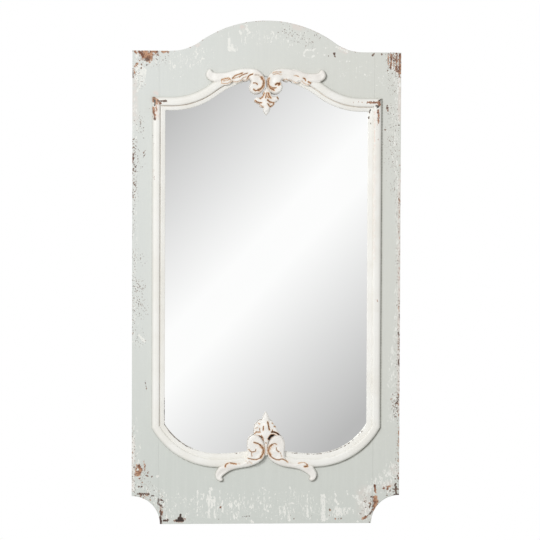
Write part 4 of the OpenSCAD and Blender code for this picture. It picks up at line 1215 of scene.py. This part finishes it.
def swept_faces(count, across):
    """Faces along a run of sections, each of them a closed ring of points, and the faces of its two ends."""
    faces = []
    for i in range(count - 1):
        for j in range(across):
            k = (j + 1) % across
            faces.append((i * across + j, i * across + k, (i + 1) * across + k, (i + 1) * across + j))
    faces.append(tuple(range(across - 1, -1, -1)))
    faces.append(tuple(range((count - 1) * across, count * across)))
    return faces


def sweep_piece(name, run, side, upward, groove, material, seed):
    """One moulding on the given side of the middle; upward runs need their faces the other way round."""
    # The groove's amount of wax and painted shade, its height and its distance out
    wax, groove_up, groove_at = groove
    profile = section(groove_up, groove_at)
    rows = np.array([at_depth(run(out), FRONT_Y - up) for out, up in profile]).transpose(1, 0, 2)
    count, across, _ = rows.shape
    points = rows.reshape(-1, 3) * (side, 1, 1)
    out, up = np.tile(profile[:, 0], count), np.tile(profile[:, 1], count)
    rough = np.array([noise.noise((p[0] * 0.03, p[1] * 0.1, p[2] * 0.03 + seed)) for p in points])
    points[:, 1] += np.where(up > SANDED_UP, SANDED_ROUGH * rough + SANDED_OFF, 0)
    faces = swept_faces(count, across)
    if (side < 0) != upward:
        faces = [tuple(reversed(f)) for f in faces]
    plane = points[:, [0, 2]]
    # A band along the lip's edge beside the glass, for the painted shade there
    rim_shade_band = held(1.4 - out / 1.6) * (up > 0)
    fields = {
        "brown": mark_strength(plane, MOULDING_BROWN), "pink": mark_strength(plane, MOULDING_PINK),
        "soil": np.maximum(mark_strength(plane, MOULDING_DARK), rim_shade_band * mark_strength(plane, RIM_SHADE_STROKES)),
        "flank_shade": held((out - FLANK_AT) / FLANK_WIDTH) ** 1.5 * (up > PAINTED_UP),
        "groove": wax * np.exp(-((out - groove_at) / WAX_WIDTH) ** 2) * (up > PAINTED_UP),
    }
    piece = new_piece(name, points, faces, material, fields, smooth=50)
    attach(piece, "frame")
    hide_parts(name.removesuffix("_strip"))


def make_mouldings(material):
    for side, word in ((-1, "left"), (1, "right")):
        for node, run, upward in (
            ("moulding_top_" + word, top_run, False), ("moulding_bottom_" + word, bottom_run, True),
            ("moulding_" + word, side_run, True),
        ):
            seed = 2.0 + 7 * len(node) + side
            sweep_piece(node + "_strip", run, side, upward, GROOVE_WAX_AND_SHADE[node], material, seed)


# Carved ornaments

# Outlines in pixels of the photograph. The scrolls' are those of their left halves.
CREST_SCROLL = [
    (265, 79.8), (263.6, 76.1), (261, 73), (257.1, 69.9), (251.3, 68.6), (244.6, 68.6), (237.9, 69.5),
    (231.3, 71.2), (225.4, 72.7), (219.2, 73.1), (215, 72.7), (212.9, 71.9), (210.7, 69.4), (208.6, 69.6),
    (207, 71.6), (206, 74.7), (207.1, 77.9), (210.3, 80.6), (213.8, 81.9), (218, 82), (220.6, 82.2),
    (221.6, 84), (224.2, 85.2), (228.6, 84.4), (231.6, 82.2), (232.5, 81.5), (233.6, 82.4), (236, 83.1),
    (239.2, 82.2), (241.4, 80.7), (242.4, 80.2), (243.6, 81.2), (245.4, 81.6), (247.8, 80.8),
    (249.2, 79.7), (250.4, 80.6), (250.8, 82.2), (249.8, 84.4), (249.2, 87), (249.8, 89.8), (251.4, 92.2),
    (254, 93.7), (257, 94.1), (260, 93.2), (262.4, 91.2), (264.1, 88.5), (264.9, 85.2),
]
BASE_SCROLL = [
    (219.2, 466.6), (217, 469.6), (215.4, 473.2), (215.6, 476.8), (217.4, 479.6), (220, 480.9),
    (222.2, 480.2), (222.6, 478.6), (221.8, 477), (223, 475.2), (226.6, 472.4), (231.2, 469.9),
    (236.3, 468.3), (242.9, 467.2), (249.6, 465.9), (256.3, 463.2), (261.4, 459.8), (264, 456.4),
    (264.9, 452), (264.6, 446.6), (263.4, 441.4), (261.3, 437.6), (258.4, 435.2), (255.2, 434.6),
    (251.9, 435.4), (249.2, 437.7), (247.5, 441), (247.1, 444.6), (247.4, 449), (247.6, 453.6),
    (246.8, 457.6), (245, 460.3), (242, 462.1), (238.4, 462.9), (234.6, 462.4), (230.6, 461.8),
    (227, 462.2), (224.4, 464.2), (222, 465.4),
]
PENDANT = [
    (266.7, 87), (265.2, 89.2), (263.3, 91.6), (262.3, 94.9), (260.6, 97.4), (258.6, 97.5), (256.6, 97.2),
    (255, 98.5), (254.5, 100.5), (255.6, 102.6), (258, 103.7), (259.7, 104.2), (259.6, 106), (261, 107.1),
    (263.2, 107.5), (263.5, 109.4), (263.9, 111.7), (265.1, 113.6), (266.6, 114.9), (268.2, 113.5),
    (269.4, 111.6), (270.1, 109.3), (270.7, 107.4), (273, 106.2), (274.6, 104.3), (275, 102.4),
    (277.4, 101.6), (278.7, 99.4), (278.2, 97), (276.6, 95.8), (274.4, 96.5), (272.2, 95.9), (270.9, 93.4),
    (270, 91.4), (268.3, 89.2),
]
PALMETTE = [
    (266, 412.2), (264.6, 413.9), (263.3, 416.4), (262.3, 419.6), (260.6, 420.2), (258.5, 420.6),
    (257.6, 422.4), (255.6, 423.9), (254.3, 426.2), (254.1, 429.4), (253.6, 432.6), (254.4, 434.6),
    (257.4, 435.8), (260.2, 437), (262.4, 439.6), (263.8, 443), (264.3, 448), (264.4, 454.6),
    (267.4, 454.6), (267.5, 448), (268, 442.8), (269.3, 439.4), (271.6, 437.6), (275.4, 436.9),
    (279.4, 437.4), (280.6, 436.2), (279, 433.4), (277.7, 430.4), (276, 426.9), (273.9, 424.2),
    (272.5, 421.2), (270.2, 420.1), (269, 417.2), (267.6, 414.2),
]

# Cuts of the knife: half width in pixels, depth as a share of the height, brown left in it, and its
# points in pixels of the photograph
CREST_LEFT_CUTS = [
    (0.8, 0.3, 0.6, [(221.6, 84.2), (221.3, 82), (221.5, 79.8)]),
    (1.1, 0.36, 0.72, [(221.9, 80.2), (224.4, 79.3), (228.4, 78.7), (230, 80)]),
    (0.8, 0.25, 0.6, [(223, 81.3), (226, 81.1), (229.2, 79.9)]),
    (0.7, 0.2, 0.55, [(222.4, 83.6), (226.7, 84), (229.6, 82.6), (232.2, 81.6)]),
    (1, 0.36, 0.7, [(232.2, 78.8), (233.9, 77), (236.9, 75.3), (242.4, 73.5)]),
    (0.7, 0.25, 0.5, [(232.6, 79), (235.6, 78.3), (239, 77)]),
    (0.7, 0.2, 0.5, [(233.4, 81.7), (236.9, 82.3), (241.1, 80.6)]),
    (0.9, 0.32, 0.65, [(239.4, 77.6), (240.7, 76.2), (243.6, 74.9), (247.2, 73.7)]),
    (0.7, 0.25, 0.4, [(241.6, 80), (242.8, 78.4), (246.2, 77.2)]),
    (0.7, 0.2, 0.4, [(242.4, 80.2), (244.6, 80.9), (248.8, 78.8)]),
    (1, 0.36, 0.8, [(247.2, 78.6), (249.1, 75.9), (252.5, 74.7)]),
    (0.7, 0.25, 0.5, [(246.6, 79), (248.4, 80)]),
    (1.6, 0.3, 0, [(255, 75.6), (258.4, 75.9), (261, 77.8)]),
    (1.9, 0.4, 0.78, [(261.2, 78), (263.2, 81.2), (263.2, 85.4), (261.2, 88.6), (258, 90.6)]),
    (1.1, 0.36, 0.7, [(258, 90.6), (254.9, 91.2), (253.5, 90)]),
    (0.9, 0.3, 0.7, [(253, 83.5), (255.4, 83.4), (257, 85)]),
]
CREST_RIGHT_CUTS = [
    (0.8, 0.2, 0.45, [(272.4, 73.8), (273.6, 72.8), (276.8, 72.6), (281.6, 72.8)]),
    (0.8, 0.2, 0.4, [(273, 75.2), (276.6, 74.2), (281, 75)]),
    (0.8, 0.25, 0.5, [(293.8, 76), (296.4, 76.2), (298.4, 77.2)]),
    (0.9, 0.32, 1.1, [(302.9, 78.6), (304.4, 79.2), (305.2, 80.9)]),
    (1, 0.36, 1.1, [(308, 82.2), (310, 83.4), (311.4, 83.8)]),
    (0.9, 0.3, 0.5, [(281.7, 82.4), (282.8, 80.6), (284.3, 80)]),
    (0.7, 0.25, 0.4, [(286, 79.6), (288.6, 81), (291, 80.6)]),
    (0.7, 0.2, 0.35, [(292.8, 81.8), (296.6, 83.4), (300.4, 82.8)]),
    (0.7, 0.2, 0.4, [(301.4, 81.4), (304.8, 84.4), (309, 85.2)]),
    (1.7, 0.4, 0.75, [(268.6, 79), (267.9, 82.4), (268.4, 85.8), (270.4, 88.8), (273.3, 90.4)]),
    (1, 0.3, 0.7, [(270, 87.4), (272.6, 88.4), (275.8, 88.2)]),
    (1.3, 0.34, 1, [(275.2, 85.2), (276.7, 84), (279.4, 84), (278.4, 85.4)]),
]
BASE_LEFT_CUTS = [
    (1.1, 0.36, 0.75, [(253.8, 441.6), (257.4, 442.6), (260.4, 444.4)]),
    (2, 0.4, 0.75, [(260.2, 444.6), (262.8, 448), (262.9, 452.4), (260.4, 456.4)]),
    (0.9, 0.36, 0.7, [(260.4, 456.8), (255.4, 458.6), (247.6, 457.6)]),
    (0.8, 0.3, 0.6, [(248.6, 448.6), (250.4, 450.6), (252.6, 451), (255.4, 450), (255.6, 448.6)]),
    (0.7, 0.25, 0.45, [(251.4, 451.2), (251.2, 453.4), (251.8, 455.6)]),
    (1, 0.34, 1, [(225.1, 466), (225.6, 463.9), (228, 462.6)]),
    (1.1, 0.32, 1.1, [(230.2, 462.2), (236, 463.2)]),
    (0.7, 0.25, 0.6, [(237.6, 461.8), (239.4, 463.4)]),
    (0.7, 0.15, 0.3, [(245.6, 460.2), (247.6, 462.2)]),
    (0.7, 0.15, 0.3, [(248.6, 460.6), (251.6, 462.4)]),
]
BASE_RIGHT_CUTS = [
    (0.8, 0.3, 0.6, [(276, 443.6), (274.4, 442.6), (272, 443.4)]),
    (2, 0.4, 0.72, [(271.6, 444), (269, 446.6), (268.2, 450.6), (270, 454.6)]),
    (0.9, 0.36, 0.7, [
        (269.9, 454.8), (273.6, 457.8), (278, 459), (281.6, 458.2), (284.4, 459.2), (287.5, 461.4),
    ]),
    (0.8, 0.28, 0.7, [(276, 447), (276.2, 449.2), (278.6, 451)]),
    (0.7, 0.25, 0.4, [(280.2, 452.2), (281.2, 456)]),
    (0.9, 0.2, 0.5, [(289.6, 460.3), (293, 461.5), (296.9, 461)]),
    (1, 0.32, 0.75, [(298.4, 462.4), (301.2, 461.6), (304.4, 461.8), (306.8, 463.6)]),
    (1.3, 0.34, 1, [(306.8, 463.6), (306.7, 465.6), (304.2, 465.7)]),
]
PENDANT_CUTS = [
    (1.1, 0.36, 0.8, [(264, 93.4), (262.8, 96.6), (260, 99)]),
    (1, 0.3, 0.8, [(266.6, 93.2), (265.8, 95.8), (265.4, 98.4)]),
    (1.3, 0.3, 0.9, [(268.2, 93.6), (268.8, 96), (270.6, 98.2)]),
    (1, 0.25, 0.8, [(266.6, 96.2), (268.4, 98.2)]),
    (1.2, 0.36, 0.85, [(267.2, 100.4), (269.6, 102.2), (273.4, 103)]),
    (1, 0.34, 0.75, [(273.4, 103), (272.8, 105.6), (270.2, 107)]),
    (1.1, 0.36, 0.85, [(267.6, 104.2), (269, 106.2), (270.2, 107)]),
    (0.9, 0.3, 1.1, [(254.9, 100.6), (257.4, 102.6), (261.2, 103.2)]),
    (0.9, 0.32, 0.6, [(259.6, 104.6), (261.4, 106.2), (263.2, 107.4)]),
    (0.9, 0.3, 1.1, [(276.8, 97.6), (278, 99)]),
]
PALMETTE_CUTS = [
    (1.1, 0.42, 1, [(267.5, 421.4), (268.2, 425.2), (269, 429)]),
    (0.9, 0.34, 0.8, [(263, 425.6), (262.9, 429.6)]),
    (0.7, 0.28, 0.5, [(259.2, 427.6), (260, 432)]),
    (0.7, 0.28, 0.6, [(258.2, 422.8), (259.4, 423.4)]),
    (0.7, 0.28, 0.8, [(271.6, 422.4), (272.4, 422.9)]),
    (0.9, 0.34, 0.8, [(254.4, 433.2), (256, 431.6), (259, 431.4)]),
    (0.7, 0.3, 0.5, [(254.8, 428), (257.4, 427)]),
    (0.7, 0.3, 0.8, [(272, 429.4), (272.4, 431)]),
    (0.8, 0.3, 0.9, [(273.8, 425.8), (275.2, 426.4)]),
    (1.4, 0.55, 2.2, [(256.4, 436.3), (258.8, 436.1), (260.6, 437)]),
    (0.8, 0.36, 0.8, [(261, 435), (262.6, 437.4), (263, 440.4)]),
    (1, 0.45, 1.8, [(271.2, 431.4), (274.6, 431.6), (277.6, 433.4), (279.6, 435.6)]),
    (1.7, 0.55, 2.2, [(268.6, 438), (270.4, 435.6), (272.2, 434.8), (275.6, 436)]),
    (0.7, 0.3, 1.2, [(265.5, 442.1), (265.7, 442.4)]),
]

# Broad gouges: half width in pixels, depth in millimetres, and their points in pixels
CREST_LEFT_GOUGES = [
    (4.5, 1.8, [(213, 76.5), (222, 76.2), (234, 72.6)]),
    (3.2, 1.8, [(258.5, 80), (260.4, 84), (257, 88)]),
]
CREST_RIGHT_GOUGES = [
    (4, 1.5, [(319, 76.5), (309, 76), (298, 72.8), (288, 71.6)]),
    (3, 1.6, [(272.5, 79), (271.4, 83), (274, 86)]),
]
BASE_LEFT_GOUGES = [
    (3, 2, [(256, 446.5), (260, 450), (256, 455)]),
    (2.6, 2.6, [(219, 474.5), (224.8, 470.6), (232.5, 468.6), (240, 466.6), (250, 464.8)]),
]
BASE_RIGHT_GOUGES = [
    (3, 2, [(275, 446.5), (271, 450), (275, 455)]),
    (2.6, 2.2, [(312.5, 474.5), (306.8, 470.8), (299, 468.6), (291, 467), (282, 464.8)]),
]

# Heights of the carvings above the boards at a few pixels of their left or right halves
CREST_HEIGHTS = [
    (209, 75, 12.5), (220, 77, 14), (231, 75, 15.5), (244, 71.5, 17), (257, 72.5, 18.5), (264.5, 82, 19.3),
    (258, 92, 18.8), (251, 88, 18), (257, 83, 19), (226, 82.5, 13), (237, 80, 14), (245, 79, 15),
]
BASE_HEIGHTS = [
    (219, 478, 12), (219, 473, 13), (228, 466, 15), (240, 464, 16.5), (252, 461.5, 17.5), (262, 457, 18.5),
    (264, 447, 19), (256, 438, 19.3), (249, 443, 18.8), (256, 449, 19.3), (252, 454, 17.5),
]
PENDANT_HEIGHTS = [
    (266.3, 88, 10), (266.3, 93, 13), (266.3, 98, 16), (266.3, 104, 15.5), (266.3, 109, 15),
    (266.3, 114, 11), (257, 99.5, 13), (275.5, 99.5, 13), (260.5, 105.5, 11.5), (272, 105.5, 11.5),
]
PALMETTE_HEIGHTS = [
    (265.9, 413, 11), (265.9, 418, 15), (265.9, 426, 17), (265.9, 434, 17), (265.9, 441, 15),
    (265.9, 456, 11), (257, 427, 14), (275, 427, 13.5), (255.5, 432, 13), (277, 433, 13), (260, 422, 13.5),
    (271.5, 422, 13.5),
]

CARVINGS = (
    ("crest_scroll_left", CREST_SCROLL, CREST_LEFT_CUTS, CREST_LEFT_GOUGES, CREST_HEIGHTS, -1),
    ("crest_scroll_right", CREST_SCROLL, CREST_RIGHT_CUTS, CREST_RIGHT_GOUGES, CREST_HEIGHTS, 1),
    ("base_scroll_left", BASE_SCROLL, BASE_LEFT_CUTS, BASE_LEFT_GOUGES, BASE_HEIGHTS, -1),
    ("base_scroll_right", BASE_SCROLL, BASE_RIGHT_CUTS, BASE_RIGHT_GOUGES, BASE_HEIGHTS, 1),
    ("crest_pendant", PENDANT, PENDANT_CUTS, [], PENDANT_HEIGHTS, 0),
    ("base_palmette", PALMETTE, PALMETTE_CUTS, [], PALMETTE_HEIGHTS, 0),
)
# Distance between the points of a carving's outline and of its face
CARVED_STEP, CARVED_SPACING = 0.8, 0.7
CARVED_RINGS = (0.25, 0.7)
# A carving's height at its edge as a share of its full height, and how far in the edge is rounded
EDGE_SHARE, EDGE_ROUND = 0.42, 5.0
CUT_WIDTH, CUT_DEPTH = 0.95, 1.05
# Height that clears a moulding's bead, and how wide its slopes are at the moulding's end and sides
CLEAR_HEIGHT = 11.4
END_ROOM, SLOPE, OUTER_SLOPE = 6, 4, 3
# How high the grime and painted shade at a carving's foot reach
FOOT_HEIGHT = 6
# The crest's carvings, above the opening's half height, sit a little left of the frame's middle
CREST_MIDDLE = from_photo(265.9, 80)[0]
HALFWAY_Z = (SILL_Z + PEAK_Z) / 2


def catmull_rom(points, step):
    """A smooth curve from the second point to the last but one, with its points a step apart."""
    curve = []
    for a, b, c, d in zip(points, points[1:], points[2:], points[3:]):
        parts = max(1, round(np.linalg.norm(c - b) / step))
        square, cube = 2 * a - 5 * b + 4 * c - d, 3 * b - a - 3 * c + d
        for t in np.arange(parts) / parts:
            curve.append(0.5 * (2 * b + (c - a) * t + square * t**2 + cube * t**3))
    return curve


def smooth_loop(points):
    """A closed outline through the points."""
    return np.array(catmull_rom(np.vstack([points[-1:], points, points[:2]]), CARVED_STEP))


def smooth_line(points):
    """An open line through the points."""
    points = np.asarray(points, float)
    before, after = 2 * points[0] - points[1], 2 * points[-1] - points[-2]
    return np.array(catmull_rom(np.vstack([[before], points, [after]]), 1.0) + [points[-1]])


def carving_spot(px, py, side):
    """The point that a pixel shows; a side of 1 mirrors it about the middle of its pair of carvings."""
    x, z = from_photo(px, py)
    if side > 0:
        x = (2 * CREST_MIDDLE if z > HALFWAY_Z else 0) - x
    return x, z


def pixel_outline(pixels, side):
    """An outline given in pixels, anticlockwise as seen from the front; a side of 1 mirrors it."""
    points = np.array([carving_spot(*p, side) for p in pixels])
    area = np.sum(points[:, 0] * np.roll(points[:, 1], -1) - np.roll(points[:, 0], -1) * points[:, 1])
    return points[::-1] if area < 0 else points


def polyline_gap(points, pixels):
    """Distance from each point to a smooth line through the given pixels."""
    gap = np.full(len(points), 1e9)
    spots = np.array([from_photo(*p) for p in smooth_line(pixels)])
    for a, b in zip(spots, spots[1:]):
        gap = np.minimum(gap, segment_gap(points, a, b))
    return gap


def height_between(points, spots, side):
    """Height at each point, blended from spots of known height; a side of 1 mirrors them."""
    total, weight = np.zeros(len(points)), np.zeros(len(points))
    for px, py, height in spots:
        x, z = carving_spot(px, py, side)
        w = 1 / (((points - (x, z)) ** 2).sum(1) + 4) ** 1.5
        total += w * height
        weight += w
    return total / weight


def quarter_round(share):
    share = held(share)
    return np.sqrt(share * (2 - share))


def above_moulding(points):
    """Least height at each point, so that a carving clears the moulding below it."""
    x, z = np.abs(points[:, 0]), points[:, 1]
    arch = np.hypot(x, z - ARCH_CZ) - ARCH_R
    hollow = HOLLOW_R - np.hypot(x - HOLLOW_X, z - HOLLOW_CZ)
    sill = np.hypot(x - CORNER_X, z - SILL_CZ) - SILL_R
    corner = np.hypot(x - CORNER_X, z - CORNER_CZ) - CORNER_R
    top = np.where(x * 4 < (z - ARCH_CZ) * 3, arch, hollow)
    out = np.where(z > LOW_Z, top, np.where(x < CORNER_X, sill, corner))
    end = np.where(z > LOW_Z, TOP_END_X, BOTTOM_END_X)
    past_end = held((x - end + END_ROOM) / SLOPE)
    past_sight = held((out + SLOPE) / SLOPE)
    before_outer = held((MOULD_W + OUTER_SLOPE - out) / OUTER_SLOPE)
    return CLEAR_HEIGHT * (past_end * past_sight * before_outer)


def cut_shares(points, cuts):
    """For each cut, how far each point is from its middle, where its edge is at 1."""
    return [polyline_gap(points, spots) / (reach * CUT_WIDTH * MM_PER_PX) for reach, _, _, spots in cuts]


def carved(points, gap, cuts, gouges, heights, side):
    """Height of a carving's face above the boards at each point."""
    height = height_between(points, heights, side)
    height *= EDGE_SHARE + (1 - EDGE_SHARE) * quarter_round(gap / EDGE_ROUND)
    for share, (_, depth, _, _) in zip(cut_shares(points, cuts), cuts):
        height *= 1 - depth * CUT_DEPTH * (1 - quarter_round(share))
    for reach, depth, spots in gouges:
        height -= depth * np.exp(-(polyline_gap(points, spots) / (reach * MM_PER_PX)) ** 2)
    return np.maximum(height, above_moulding(points))


def carving_fields(points, cuts):
    """Wax in the cuts, the wash beside them, and grime with painted shade at the foot where a carving meets
    the board.
    """
    stain, cut = np.zeros(len(points)), np.zeros(len(points))
    for share, (_, _, brown, _) in zip(cut_shares(points[:, [0, 2]], cuts), cuts):
        stain = np.maximum(stain, brown * held(1.3 - share))
        cut = np.maximum(cut, held(1.6 - share * 0.7))
    rise = FRONT_Y - points[:, 1]
    return {"stain": stain, "cut": cut, "foot": held(1 - rise / FOOT_HEIGHT)}


def make_carvings(material):
    for seed, (node, pixels, cuts, gouges, heights, side) in enumerate(CARVINGS):
        loop = smooth_loop(pixel_outline(pixels, side))
        points, faces, _, gap = filled(loop, CARVED_SPACING, CARVED_RINGS)
        height = carved(points, gap, cuts, gouges, heights, side)
        # The knife leaves the face a little uneven
        height += 0.15 * unevenness(points, 0.25, seed + 1.0)
        made = Faces()
        made.sheet(at_depth(points, FRONT_Y - height), faces)
        made.wall(loop, FRONT_Y - height[:len(loop)], FRONT_Y)
        back, back_faces = triangles(loop, len(loop))
        made.sheet(at_depth(back, FRONT_Y), back_faces, flip=True)
        points, faces = made.merged()
        fields = carving_fields(points, cuts)
        piece = new_piece(node + "_relief", points, faces, material, fields, smooth=55)
        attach(piece, "frame")
        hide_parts(node)


# Putting the scene together

FINISHES = (
    (mirror_material, ("mirror_glass",)),
    (hardboard_material, ("back_panel",)),
    (zinc_material, (
        "hanger_strap_left", "hanger_strap_right", "hanger_ring_left", "hanger_ring_right",
        "hanger_screws", "back_panel_screws",
    )),
    (rubber_material, ("wall_bumpers", "setting_blocks")),
    (packing_material, ("packing_sheet",)),
    (beech_material, ("joint_dowels",)),
)

bpy.context.scene.view_settings.view_transform = "Standard"
make_camera()
make_world()
make_key_light()
make_stage()

for make, nodes in FINISHES:
    finish = make()
    for node in nodes:
        materials = frame["nodes"][node].data.materials
        materials.clear()
        materials.append(finish)

make_boards(board_material())
make_mouldings(moulding_material())
make_carvings(ornament_material())

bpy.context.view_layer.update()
